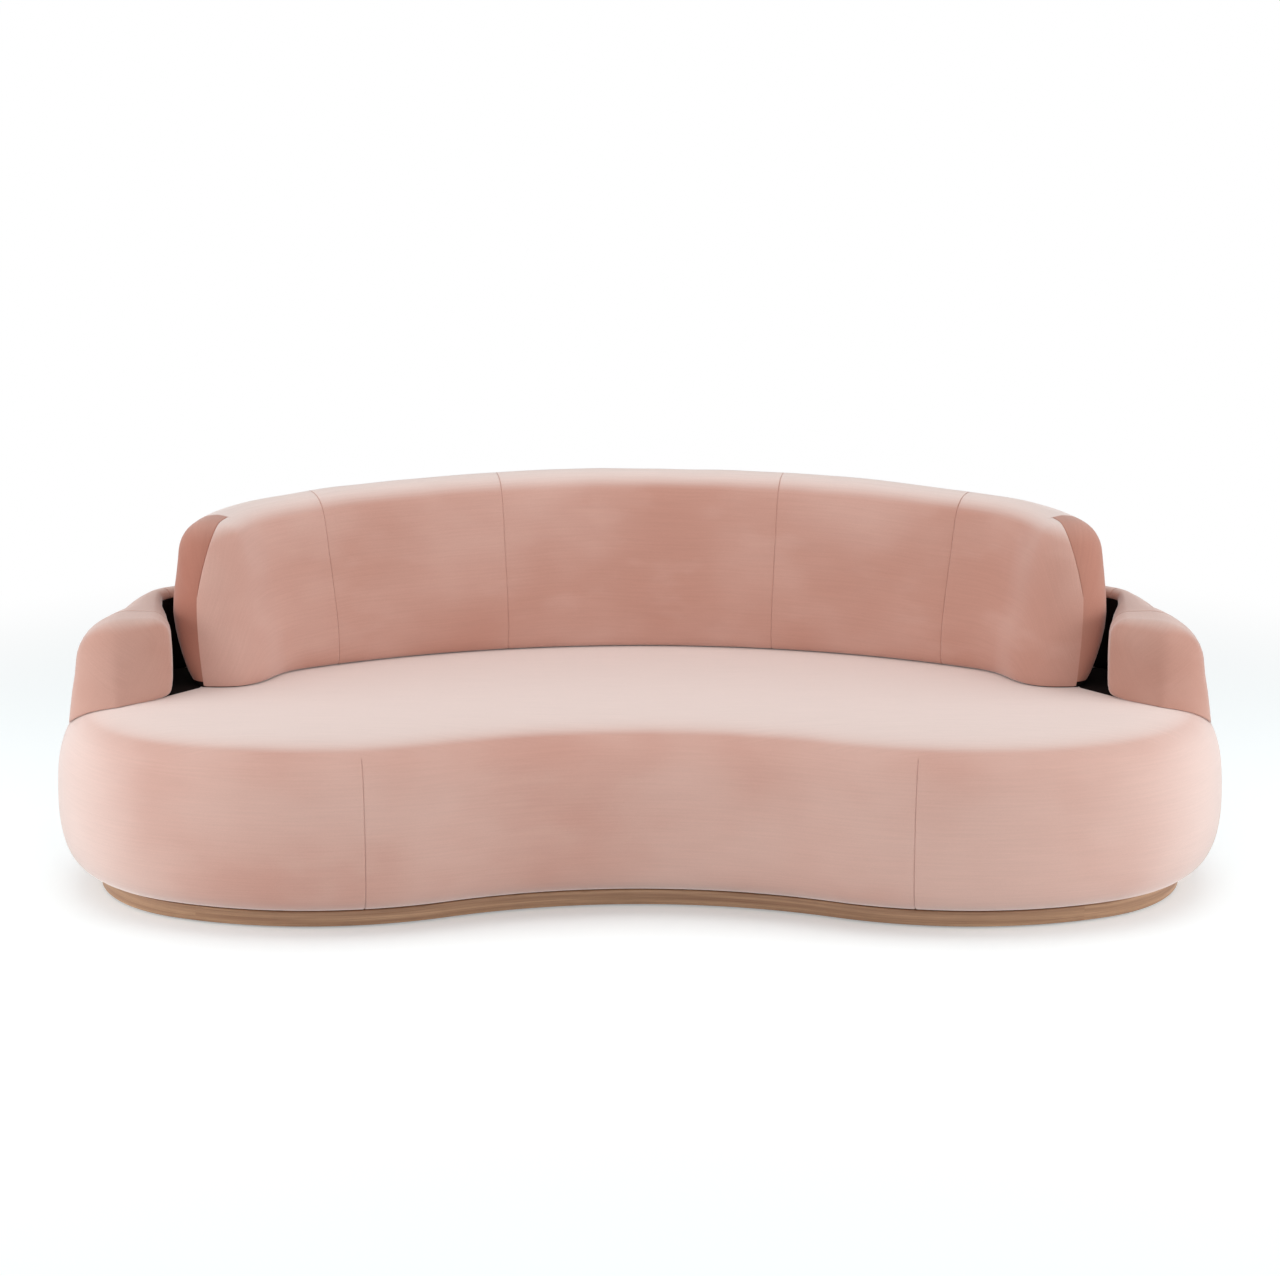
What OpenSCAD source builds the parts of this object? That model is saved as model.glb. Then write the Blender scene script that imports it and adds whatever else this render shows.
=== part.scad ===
// Kidney-shaped upholstered sofa: a deep curved seat on a recessed wooden plinth,
// a low shell that wraps the rear and ends in two thick arms,
// and a separate tall curved back cushion that stands inside the shell.
// X runs along the width, Y to the rear, Z up from the floor.

/* [Overall] */
// Width over the round ends of the seat
sofa_w = 2440; // [2300:10:2700]
// Depth from the front of the lobes to the rear of the seat
sofa_d = 1135; // [1100:5:1220]
// Height of the back cushion at its middle
sofa_h = 780; // [740:2:820]
// Height of the seat at its crown
seat_h = 400; // [385:5:430]
// Height of the rim of the shell and the arms above the seat
rim_rise = 168; // [150:1:190]

/* [Outline] */
// Radius of the two round ends
side_r = 400; // [380:5:430]
// Radius of the two front lobes
lobe_r = 780; // [720:10:860]
// How far a lobe reaches ahead of the round end beside it
lobe_reach = 32; // [24:1:40]
// Depth of the hollow between the two lobes
waist_d = 137; // [100:1:160]

/* [Plinth] */
// Height of the plinth band
plinth_h = 32; // [24:1:60]
// Thickness of the bent plinth band
plinth_t = 18; // [12:1:24]
// How far the band stands in from the widest line of the seat
plinth_inset = 82; // [70:1:84]
// Distance from the middle to each butt joint at the front
plinth_joint_x = 893; // [820:1:930]
// Distance from the middle to each butt joint at the rear
plinth_rear_joint_x = 700; // [600:5:800]
// Height of a glide below the band
glide_h = 4; // [3:0.5:10]
// Diameter of a glide
glide_d = 30; // [20:1:36]
// Diameter of the nail in a glide
nail_d = 3; // [2:0.5:4]
// Length of the nail in a glide
nail_l = 16; // [10:1:20]
// Thickness of a cross board between the bands
cross_t = 20; // [16:1:25]
// Spacing of the cross boards
cross_pitch = 290; // [260:5:330]
// Width of a corner block behind the band
block_w = 60; // [45:1:80]
// Depth of a corner block behind the band
block_d = 40; // [34:1:50]

/* [Seat] */
// How far the cover is tucked in behind the edge of the plinth
tuck_ledge = 10; // [6:1:12]
// Height at which the seat is widest
wide_h = 185; // [170:5:210]
// How far the top seam stands in from the widest line
edge_inset = 34; // [28:1:42]
// Drop from the crown of the seat to its top seam
edge_drop = 23; // [15:1:30]
// Distance from the middle to each seam in the front border
border_seam_x = 547; // [500:1:620]
// Thickness of the velvet with its backing
skin = 2; // [1.5:0.5:3]

/* [Seat frame] */
// Thickness of the plywood boards
ply_t = 18; // [15:1:21]
// Thickness of the bent facing panels
facing_t = 4; // [3:0.5:6]
// How far the facing stands in from the widest line
facing_inset = 96; // [92:1:104]
// Width of the top ring
ring_w = 122; // [118:1:140]
// Height of the top of the seat frame
frame_h = 316; // [300:1:326]
// Side of an upright post
post_w = 45; // [38:1:55]
// Spacing of the upright ribs
rib_pitch = 360; // [320:5:400]
// Depth of the scoop in the ribs, in which the straps give way
rib_scoop = 117; // [80:1:150]
// Width of an elastic strap
strap_w = 60; // [50:1:70]
// Thickness of an elastic strap
strap_t = 2; // [1.5:0.5:3]
// Spacing of the straps
strap_pitch = 110; // [95:1:140]
// How far the ends of the straps stand in from the edge of the top ring
strap_edge = 12; // [6:1:20]
// Thickness of the felt over the straps
felt_t = 4; // [3:0.5:6]

/* [Shell] */
// How far the shell stands in from the widest line of the seat
shell_inset = 28; // [22:1:32]
// Thickness of the shell over its padding
shell_t = 76; // [74:1:82]
// How far the top of the shell leans in beside the arms
shell_lean = 46; // [38:1:50]
// Angle back from the widest point at which the shell has its full lean
lean_full_a = 22; // [14:1:30]
// Angle back from the widest point at which the shell begins to thicken towards an arm
taper_a = 45; // [38:1:48]
// Width of the outer roll of the rim
rim_roll_w = 46; // [38:1:48]
// Height of the outer roll of the rim
rim_roll_h = 120; // [90:1:130]
// Radius of the inner roll of the rim
rim_roll_in = 20; // [14:1:22]
// Height of the padded rim above the boards
rim_pad_h = 73; // [66:1:80]
// How far the boards and rails of the shell stand in from its middle
shell_board_in = 16; // [15:1:18]
// Thickness of the two bent boards of the shell
board_t = 3; // [2.5:0.5:4]
// Width of the rails between the two boards
rail_w = 24; // [20:1:26]
// Width of a steel bracket that ties the shell to the seat frame
bracket_w = 40; // [30:1:50]
// Thickness of a steel bracket
bracket_t = 5; // [4:0.5:6]
// Length of the foot of a steel bracket
bracket_l = 86; // [75:1:100]
// Air between a steel bracket and the top rail of the shell
bracket_air = 20; // [8:1:30]

/* [Arms] */
// Thickness of an arm
arm_t = 215; // [195:1:222]
// Angle from the widest point forward to the inner end of the front of an arm
arm_front_a = 24; // [22:1:27]
// Angle from the widest point forward to the outer end of the front of an arm
arm_outer_a = 14; // [11:1:18]
// Angle from the widest point back to the rear of an arm
arm_back_a = 6; // [3:1:9]
// Width of the outer roll of an arm
arm_roll_w = 92; // [80:1:100]
// Height of the outer roll of an arm
arm_roll_h = 85; // [75:1:100]
// Radius of the inner roll of an arm
arm_roll_in = 40; // [30:1:50]
// How far the outer face of an arm leans in
arm_lean = 32; // [20:1:40]
// Angle from the widest point forward to where an arm has its full thickness
arm_swell_a = 3; // [1:0.5:5]
// Radius of the round front of an arm
arm_nose_r = 55; // [40:1:65]
// Padding round the wooden frame of an arm
arm_frame_margin = 50; // [48:1:60]
// Diameter of a bolt between the shell and an arm
bolt_d = 8; // [6:1:10]
// Length of a bolt between the shell and an arm
bolt_l = 80; // [60:1:90]

/* [Back cushion] */
// Thickness of the back cushion at its base
pad_t = 210; // [208:1:225]
// How far the front face leans back from base to top
pad_lean = 58; // [40:1:58]
// Radius of the top edges
pad_top_r = 72; // [60:1:72]
// How far each end stands in from the widest line of the seat
pad_end_inset = 227; // [215:1:245]
// Radius of the rear face where it turns forward at each end
pad_side_r = 357; // [340:1:380]
// Angle at which each end stops, from straight sideways
pad_end_a = 10; // [6:1:20]
// Depth of the round nose of each end
pad_nose = 96; // [80:1:110]
// How far the base of each end is drawn in under its widest part; its top is drawn in less
pad_tuck = 26; // [10:1:34]
// Drop of the crest from the middle to the ends
crest_drop = 30; // [20:1:46]
// Further drop of the crest over the round nose
nose_drop = 150; // [100:1:180]
// Distance from the middle to the inner seams
pad_seam_in = 290; // [240:1:340]
// Distance from each end of the cushion to the outer seam beside it
pad_seam_end = 343; // [315:1:390]
// Air between the back cushion and the shell
pad_gap = 5; // [3:1:8]
// Distance from the rear of the cushion to its wooden rails
pad_rail_in = 62; // [56:1:68]
// Width of the wooden rails in the cushion
pad_rail_w = 56; // [50:1:60]
// Height of the padding above the upper rail
pad_rail_drop = 150; // [140:1:170]
// Thickness of the padding under the lower rail
pad_rail_rest = 6; // [4:1:10]
// Diameter of a stud that ties the cushion to the seat
stud_d = 10; // [8:1:12]
// Width of the nut on a stud
nut_d = 19; // [16:1:22]
// Height of the nut on a stud
nut_h = 8; // [6:1:10]
// Length of a stud above its nut
stud_over = 4; // [2:1:8]

/* [Hidden] */
velvet = "#d6aea1";
velvet_dark = "#bb8976";
foam_colour = "#efe3bd";
wood = "#96704f";
ply = "#d9bd8c";
steel = "#9a9da1";
cloth = "#2e2c2b";
$fn = 48;
// Clearance between soft pieces and what they lie on
gap = 0.3;
// Clearance under the shell and the arms, which rest on the curved edge of the seat
rest_gap = 0.5;
// Length that a cut reaches past a surface
over = 1;

// Centres of the arcs of the outline, worked out so that each arc meets the next smoothly
side_x = sofa_w / 2 - side_r;
side_y = -sofa_d / 2 + side_r + lobe_reach;
rear_span = sofa_d / 2 - side_y;
rear_r = (side_x * side_x + rear_span * rear_span - side_r * side_r) / (2 * (rear_span - side_r));
rear_y = sofa_d / 2 - rear_r;
lobe_x = side_x - sqrt(lobe_reach * (2 * (lobe_r - side_r) - lobe_reach));
lobe_y = -sofa_d / 2 + lobe_r;
waist_r = (lobe_x * lobe_x + waist_d * waist_d) / (2 * waist_d) - lobe_r;
waist_y = -sofa_d / 2 + waist_d - waist_r;
rear_end_a = atan2(side_y - rear_y, side_x);
lobe_start_a = atan2(side_y - lobe_y, side_x - lobe_x);
lobe_end_a = atan2(waist_y - lobe_y, -lobe_x);
waist_start_a = atan2(lobe_y - waist_y, lobe_x);
seam_a = -acos((border_seam_x - lobe_x) / (lobe_r - edge_inset));

// Stations along an arc: place and outward normal. A hollow arc has its normal turned round.
function arc(c, r, a0, a1, n, s = 1) =
    [for (i = [0:n]) let (a = a0 + (a1 - a0) * i / n)
        [c[0] + r * cos(a), c[1] + r * sin(a), s * cos(a), s * sin(a)]];
function tail(l) = [for (i = [1:len(l) - 1]) l[i]];
function flip(l) = [for (i = [len(l) - 1:-1:0]) l[i]];
function mirrored(l) = [for (s = flip(l)) [-s[0], s[1], -s[2], s[3]]];
function both(l) = concat(mirrored(l), tail(l));
function inward(s, d) = [s[0] - d * s[2], s[1] - d * s[3]];

// Right half of the outline, from the middle of the rear round to the middle of the front
side_c = [side_x, side_y];
rear_half = arc([0, rear_y], rear_r, 90, rear_end_a, 7);
side_rear = arc(side_c, side_r, rear_end_a, arm_back_a, 4);
arm_mid_r = side_r - shell_inset - arm_t / 2;
function arm_turn(len) = len * 180 / (PI * arm_mid_r);
nose_a = -arm_front_a + arm_turn(arm_nose_r);
// The station at which the round front begins on the outer face
arm_mid_a = nose_a * arm_outer_a / arm_front_a;
arm_angles = [arm_back_a, 0, arm_mid_a, nose_a, -arm_front_a];
side_arm = [for (a = arm_angles) arc(side_c, side_r, a, a, 1)[0]];
// A place beside the arm, on the straight stretch between two stations
function side_at(a) =
    let (l = concat(flip([for (i = [0:len(arm_angles) - 1]) concat([arm_angles[i]], side_arm[i])]),
        [concat([rear_end_a], side_rear[0])]))
    [for (k = [1:4]) lookup(a, [for (q = l) [q[0], q[k]]])];
side_fore = arc(side_c, side_r, -arm_front_a, lobe_start_a, 3);
lobe_outer = arc([lobe_x, lobe_y], lobe_r, lobe_start_a, seam_a, 3);
lobe_inner = arc([lobe_x, lobe_y], lobe_r, seam_a, lobe_end_a, 2);
waist_half = arc([0, waist_y], waist_r, waist_start_a, 90, 3, -1);
shell_half = concat(rear_half, tail(side_rear));
side_half = concat(side_rear, tail(side_arm), tail(side_fore), tail(lobe_outer));
front_half = concat(lobe_inner, tail(waist_half));
half = concat(rear_half, tail(side_half), tail(front_half));
outline = concat(half, [for (i = [len(half) - 2:-1:1]) [-half[i][0], half[i][1], -half[i][2], half[i][3]]]);

// Levels of the frame, the seat and the rim
rim_h = seat_h + rim_rise;
plinth_top = glide_h + plinth_h;
deck_top = plinth_top + ply_t;
seam_h = seat_h - edge_drop;
tuck = plinth_inset + tuck_ledge;
strap_top = frame_h + 2 * strap_t;
felt_top = strap_top + gap + felt_t;

// Inset of the seat border at a height: tucked in sharply below, leaning in to the seam above
tuck_power = 6;
lean_power = 2.2;
low_span = wide_h - plinth_top;
high_span = seam_h - wide_h;
function border_inset(z) = z < wide_h
    ? tuck * pow((wide_h - z) / low_span, tuck_power)
    : edge_inset * pow((z - wide_h) / high_span, lean_power);
low_shares = [0.9, 0.77, 0.5];
high_share = 0.58;
upper_level = wide_h + high_share * high_span;
border_levels = concat([plinth_top + gap], [for (f = low_shares) wide_h - f * low_span],
    [wide_h, upper_level, seam_h - gap]);
border_face = [for (z = border_levels) [border_inset(z), z]];
function face_inset(z) = lookup(z, [for (q = border_face) [q[1], q[0]]]);
// Crown of the seat: inset of its rings, from the seam inwards, and the share of the drop left at each
crown_in = [75, 150, 260];
crown_left = [0.45, 0.17, 0];
crown = concat([[edge_inset, seam_h]], [for (i = [0:2]) [crown_in[i], seat_h - crown_left[i] * edge_drop]]);
slab_top = crown[1][1] - skin;
function seat_z(d) = lookup(d, concat([[border_inset(upper_level), upper_level]], crown, [[side_r, seat_h]]));

// A flat board with the outline, drawn in by d
module plate(d, z0, z1)
    translate([0, 0, z0])
        linear_extrude(z1 - z0)
            polygon([for (s = outline) inward(s, d)]);

// A curved board along a row of stations, from inset d0 to inset d1
module band(row, d0, d1, z0, z1)
    translate([0, 0, z0])
        linear_extrude(z1 - z0)
            polygon(concat([for (s = row) inward(s, d0)], [for (s = flip(row)) inward(s, d1)]));

// A closed surface through a row of rings that all have the same number of points.
// Each patch is split along its shorter diagonal, so that surfaces that lie side by side stay apart.
// The ends are closed by strips of triangles from one side to the other, or each by one flat face.
module loft(rings, round = false, flat_ends = false) {
    n = len(rings[0]);
    m = len(rings);
    strips = [for (i = [0:ceil(n / 2) - 1])
        let (p = i + 1, k = n - 1 - i)
        each [if (p < k) [i, p, k], if (p < k - 1) [p, k - 1, k]]];
    last = round ? m - 1 : m - 2;
    sides = [for (j = [0:last], i = [0:n - 1])
        let (
            k = (j + 1) % m,
            p = (i + 1) % n,
            a = j * n + i,
            b = j * n + p,
            c = k * n + p,
            d = k * n + i,
            split = norm(rings[j][i] - rings[k][p]) <= norm(rings[j][p] - rings[k][i])
        )
        each split ? [[a, c, b], [a, d, c]] : [[a, d, b], [b, d, c]]];
    ends = flat_ends ? [[for (i = [0:n - 1]) i]] : strips;
    caps = concat(ends, [for (f = ends) [for (i = flip(f)) (m - 1) * n + i]]);
    polyhedron([for (r = rings) each r], round ? sides : concat(sides, caps), convexity = 8);
}

// A section of insets and heights, set up at a station
function stand(s, section) = [for (q = section) [s[0] - q[0] * s[2], s[1] - q[0] * s[3], q[1]]];
module sweep(row, section) loft([for (s = row) stand(s, section)]);

// Places a piece at a station: its X runs inwards from the outline and its Y along it
module at_station(s)
    translate([s[0], s[1], 0])
        rotate(atan2(-s[3], -s[2]))
            children();

function every(l, first, step) = [for (i = [first:step:len(l) - 1]) l[i]];
// Picks stations of the right half and their mirror images
function pairs(picks) = concat([for (i = picks) half[i]],
    [for (i = picks) if (abs(half[i][0]) > 1) [-half[i][0], half[i][1], -half[i][2], half[i][3]]]);
supports = pairs([2, 5, 9, 13, 16, 20, 24]);

// Plinth

module glides()
    color(cloth)
        for (s = supports)
            at_station(s)
                translate([plinth_inset + plinth_t + block_d / 2, 0, 0]) {
                    cylinder(d = glide_d, h = glide_h);
                    cylinder(d = nail_d, h = glide_h + nail_l);
                }

module plinth_ring()
    difference() {
        plate(plinth_inset, glide_h, plinth_top);
        plate(plinth_inset + plinth_t, glide_h - over, plinth_top + over);
    }

// The stretch of the plinth in front of a line through the two butt joints of one side
module side_region(s) {
    reach = sofa_w;
    linear_extrude(plinth_top + over)
        polygon([[s * plinth_joint_x, -reach], [s * reach, -reach], [s * reach, reach],
            [s * plinth_rear_joint_x, reach], [s * plinth_rear_joint_x, 0], [s * plinth_joint_x, 0]]);
}
module middle_region(s) {
    x = s > 0 ? plinth_rear_joint_x : plinth_joint_x;
    translate([-x, s > 0 ? 0 : -sofa_d, 0])
        cube([2 * x, sofa_d, plinth_top + over]);
}
module plinth_front() color(wood) intersection() { plinth_ring(); middle_region(-1); }
module plinth_rear() color(wood) intersection() { plinth_ring(); middle_region(1); }
module plinth_left() color(wood) intersection() { plinth_ring(); side_region(-1); }
module plinth_right() color(wood) intersection() { plinth_ring(); side_region(1); }

module plinth_cross_boards()
    color(ply)
        intersection() {
            plate(plinth_inset + plinth_t + gap, glide_h, plinth_top);
            for (i = [-3:3])
                translate([i * cross_pitch - cross_t / 2, -sofa_d / 2, 0])
                    cube([cross_t, sofa_d, plinth_top + over]);
        }

module plinth_blocks()
    color(ply)
        difference() {
            intersection() {
                plate(plinth_inset + plinth_t + gap, glide_h, plinth_top);
                for (s = supports)
                    at_station(s)
                        translate([plinth_inset + plinth_t - block_d, -block_w / 2, glide_h])
                            cube([2 * block_d, block_w, plinth_h]);
            }
            for (s = supports)
                at_station(s)
                    translate([plinth_inset + plinth_t + block_d / 2, 0, 0])
                        cylinder(d = nail_d + 2 * gap, h = glide_h + nail_l + over);
            for (i = [-3:3])
                translate([i * cross_pitch - cross_t / 2 - gap, -sofa_d / 2, 0])
                    cube([cross_t + 2 * gap, sofa_d, plinth_top + over]);
        }

// Seat frame

deck_inset = tuck + skin + gap;
ring_inset = facing_inset + facing_t + gap;
post_inset = ring_inset + gap;
ring_z = frame_h - ply_t;

module base_deck()
    color(ply)
        plate(deck_inset, plinth_top, deck_top);

module seat_top_ring()
    color(ply)
        difference() {
            plate(ring_inset, ring_z, frame_h);
            plate(ring_inset + ring_w, ring_z - over, frame_h + over);
            stud_holes(frame_h);
        }

// Upright ribs from front to rear, scooped out below the straps
module seat_ribs() {
    foot = ring_inset + gap;
    color(ply)
        difference() {
            intersection() {
                plate(foot, deck_top, ring_z);
                for (i = [-2:2])
                    translate([i * rib_pitch - ply_t / 2, -sofa_d / 2, 0])
                        cube([ply_t, sofa_d, frame_h]);
            }
            plate(foot + ring_w, ring_z - rib_scoop, frame_h);
        }
}

module seat_posts()
    color(ply)
        difference() {
            intersection() {
                plate(post_inset, deck_top, ring_z);
                for (s = pairs([0, 3, 7, 11, 14, 18, 22, 25]))
                    at_station(s)
                        translate([post_inset - post_w, -post_w / 2, deck_top])
                            cube([2 * post_w, post_w, ring_z - deck_top]);
            }
            for (i = [-2:2])
                translate([i * rib_pitch - ply_t / 2 - gap, -sofa_d / 2, 0])
                    cube([ply_t + 2 * gap, sofa_d, frame_h]);
        }

module facing(row) color(ply) band(row, facing_inset, facing_inset + facing_t, deck_top, frame_h);
module facing_front() facing(both_front);
module facing_left() facing(mirrored(side_half));
module facing_right() facing(side_half);
module facing_rear() facing(both(rear_half));
both_front = concat(front_half, tail(mirrored(front_half)));

strap_inset = ring_inset + strap_edge;
module seat_straps_cross()
    color(cloth)
        difference() {
            intersection() {
                plate(strap_inset, frame_h, frame_h + strap_t);
                for (i = [-9:9])
                    translate([i * strap_pitch - strap_w / 2, -sofa_d / 2, 0])
                        cube([strap_w, sofa_d, seat_h]);
            }
            stud_holes(felt_top);
            bracket_slots();
        }
module seat_straps_long()
    color(cloth)
        difference() {
            intersection() {
                plate(strap_inset, frame_h + strap_t, strap_top);
                for (y = [side_y - 2 * strap_pitch:2 * strap_pitch:side_y + 2 * strap_pitch])
                    translate([-sofa_w / 2, y - strap_w / 2, 0])
                        cube([sofa_w, strap_w, seat_h]);
            }
            stud_holes(felt_top);
            bracket_slots();
        }

module seat_felt()
    color("#b9b2a6")
        difference() {
            plate(facing_inset, strap_top + gap, felt_top);
            stud_holes(felt_top);
            bracket_slots();
        }

// Seat padding and cover

module seat_foam()
    color(foam_colour)
        difference() {
            plate(facing_inset, felt_top + gap, slab_top - gap);
            stud_holes(slab_top);
            bracket_slots();
        }

module seat_border_foam() {
    lift = skin + gap;
    levels = concat([deck_top + gap], [for (z = border_levels) if (z > deck_top + 2 * lift) z]);
    face = [for (z = levels) [face_inset(z) + lift, min(z, seam_h - lift)]];
    section = concat(face, [[crown_in[0] + lift, slab_top - gap], [facing_inset - gap, slab_top - gap],
        [facing_inset - gap, deck_top + gap]]);
    color(foam_colour)
        difference() {
            loft([for (s = outline) stand(s, section)], round = true);
            bracket_slots();
        }
}

border_section = concat(border_face,
    [for (q = flip(border_face)) [q[0] + skin, min(q[1], seam_h - skin - gap)]]);
module border(row) color(velvet) sweep(row, border_section);
module seat_cover_front() border(both_front);
module seat_cover_left() border(mirrored(side_half));
module seat_cover_right() border(side_half);
module seat_cover_rear() border(both(rear_half));

module seat_cover_top() {
    under = [[crown_in[0] + skin, slab_top], [edge_inset + skin, seam_h - skin]];
    rings = flip(concat(under, crown));
    color(velvet)
        difference() {
            loft([for (q = rings) [for (s = outline) [each inward(s, q[0]), q[1]]]], flat_ends = true);
            stud_holes(seat_h);
            bracket_slots();
        }
}

// Shell

shell_row = both(shell_half);
shell_mid = shell_inset + shell_t / 2 + shell_board_in;
frame_lift = 4;
shell_z0 = seat_h + frame_lift;
shell_z1 = rim_h - rim_pad_h;
rim_flat = 4;
foot_step = 2.5;

// How far a station has turned from angle a0 to angle a1, from 0 to 1
function turned(s, a0, a1) = min(1, max(0, (a0 - atan2(s[3], abs(s[2]))) / (a0 - a1)));
// How far the outer face leans in at a station: nothing along the rear, most at lean_full_a
function lean_at(s) = shell_lean * turned(s, rear_end_a, lean_full_a)
    - (shell_lean - arm_lean) * turned(s, lean_full_a, 0);
// Share of the growth from the thickness of the shell to that of an arm, at an angle
function swell_at(a) = sin(90 * min(1, max(0, (taper_a - a) / (taper_a + arm_swell_a))));

// Section of the shell or of an arm, from inset a0 to inset a1 and up to height top.
// roll holds the width and height of the outer roll and the radius of the inner one.
// lean holds how far the outer and the inner face lean in. All of it is drawn in by d.
function wall_section(a0, a1, top, roll, lean, d = 0) =
    let (
        w = min(roll[0], a1 - a0 - roll[2] - rim_flat - lean[0] + lean[1]) - d,
        h = roll[1] - d,
        r = roll[2] - d,
        p = a0 + d,
        q = a1 - d,
        t = top - d,
        low = seat_z(a0) + rest_gap,
        steep = lean[0] / (top - low),
        p_low = d > 0 ? p + steep * (seat_z(edge_inset) + rest_gap + 2 * d - low) : p,
        foot = [q - foot_step, max(min(crown_in[1], q - 2 * foot_step), p_low + 3 * foot_step),
            max(min(crown_in[0], q - 3 * foot_step), p_low + 2 * foot_step),
            max(edge_inset, p_low + foot_step), p_low],
        outer = [for (a = [180:-30:90]) [p + w + w * cos(a), t - h + h * sin(a)]],
        inner = [for (a = [90:-30:0]) [q - r + r * cos(a), t - r + r * sin(a)]]
    )
    concat(
        [for (v = outer) [v[0] + steep * (v[1] - low), v[1]]],
        [for (v = inner) [v[0] + lean[1] * max(0, v[1] - seat_h) / (top - seat_h), v[1]]],
        [for (x = foot) [x, seat_z(d > 0 ? max(x, edge_inset) : x) + rest_gap + 2 * d]]);
rim_roll = [rim_roll_w, rim_roll_h, rim_roll_in];
arm_roll = [arm_roll_w, arm_roll_h, arm_roll_in];
// A section of the wall that has grown by share u, with outer lean l
function grown_section(u, l, d) =
    wall_section(shell_inset, shell_inset + shell_t + (arm_t - shell_t) * u, rim_h,
        rim_roll + (arm_roll - rim_roll) * u, [l, l * (1 - u)], d);
function shell_section(s, d = 0) = grown_section(swell_at(atan2(s[3], abs(s[2]))), lean_at(s), d);

module shell_bottom_rail()
    color(ply)
        difference() {
            band(shell_row, shell_mid - rail_w / 2, shell_mid + rail_w / 2, shell_z0, shell_z0 + ply_t);
            bracket_slots();
            bolt_holes();
        }
module shell_top_rail()
    color(ply)
        difference() {
            band(shell_row, shell_mid - rail_w / 2, shell_mid + rail_w / 2, shell_z1 - ply_t, shell_z1);
            bolt_holes();
        }
module shell_posts()
    color(ply)
        intersection() {
            band(shell_row, shell_mid - rail_w / 2 + gap, shell_mid + rail_w / 2 - gap, shell_z0 + ply_t,
                shell_z1 - ply_t);
            for (s = every(shell_row, 1, 2))
                at_station(s)
                    translate([shell_mid - rail_w, -post_w / 2, 0])
                        cube([2 * rail_w, post_w, rim_h]);
        }
module shell_outer_board()
    color(ply)
        band(shell_row, shell_mid - rail_w / 2 - board_t, shell_mid - rail_w / 2, shell_z0, shell_z1);
module shell_inner_board()
    color(ply)
        band(shell_row, shell_mid + rail_w / 2, shell_mid + rail_w / 2 + board_t, shell_z0, shell_z1);

// Steel brackets lie on the top ring and rise inside the shell, between its posts
bracket_stations = [for (k = [4, 8], i = [k, len(shell_row) - 1 - k]) shell_row[i]];
bracket_top = shell_z1 - ply_t - bracket_air;
module bracket(c) {
    translate([shell_mid - bracket_t / 2 - c, -bracket_w / 2 - c, frame_h]) {
        cube([bracket_t + 2 * c, bracket_w + 2 * c, bracket_top - frame_h + c]);
        cube([bracket_l + 2 * c, bracket_w + 2 * c, bracket_t + c]);
    }
}
module shell_brackets()
    color(steel)
        for (s = bracket_stations)
            at_station(s)
                bracket(0);
module bracket_slots()
    for (s = bracket_stations)
        at_station(s)
            bracket(gap);

module shell_padding() {
    lift = skin + gap;
    color(foam_colour)
        difference() {
            loft([for (s = shell_row) stand(s, shell_section(s, lift))]);
            band(shell_row, shell_mid - rail_w / 2 - board_t - gap, shell_mid + rail_w / 2 + board_t + gap,
                shell_z0 - gap, shell_z1 + gap);
            bracket_slots();
        }
}
module shell_cover(first, last)
    color(velvet)
        difference() {
            loft([for (s = shell_row)
                let (face = shell_section(s), back = shell_section(s, skin), n = len(face))
                stand(s, concat([for (i = [first:last]) face[i % n]],
                    [for (i = [last:-1:first]) back[i % n]]))]);
            bracket_slots();
        }
module shell_cover_outer() shell_cover(12, 16);
module shell_cover_inner() shell_cover(3, 8);

// Arms

// Rings of the right arm from the shell to its round front, all of it drawn in by d
arm_x = shell_inset + arm_t;
// Turns round the front of the arm; the second stands over the seam of the seat
nose_edge = acos(1 - max(foot_step, edge_inset - shell_inset) / arm_nose_r);
nose_last = 80;
nose_turns = [0, each [for (f = [0:3]) nose_edge + (nose_last - nose_edge) * f / 3]];
// Share of the forward angle that each part of the thickness reaches, from the outer to the inner face
front_bend = [0.45, 0.95];
front_reach = [[0, arm_outer_a / arm_front_a], front_bend, [1, 1]];
// A section of the arm set up at an angle, its front part skewed so that the front faces straight ahead
function arm_stand(a, section, d) =
    [for (q = section)
        let (f = (q[0] - shell_inset - d) / (arm_t - 2 * d),
            s = side_at(a * (a < 0 ? lookup(f, front_reach) : 1)))
        [s[0] - q[0] * s[2], s[1] - q[0] * s[3], q[1]]];
function arm_rings(d) = concat(
    [for (a = [arm_back_a, 0, -arm_swell_a])
        let (t = (arm_back_a - a) / (arm_back_a + arm_swell_a))
        arm_stand(a - arm_turn(d) * (1 - t), grown_section(swell_at(a), lean_at(side_at(a)), d), d)],
    [arm_stand(arm_mid_a, wall_section(shell_inset, arm_x, rim_h, arm_roll, [arm_lean, 0], d), d)],
    [for (h = nose_turns)
        let (e = arm_nose_r * (1 - cos(h)), k = 1 - 2 * e / arm_t)
        arm_stand(-arm_front_a + arm_turn(d + arm_nose_r * (1 - sin(h))),
            wall_section(shell_inset + e, arm_x - e, rim_h - e, k * arm_roll, [k * arm_lean, 0], d), d)]);

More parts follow.
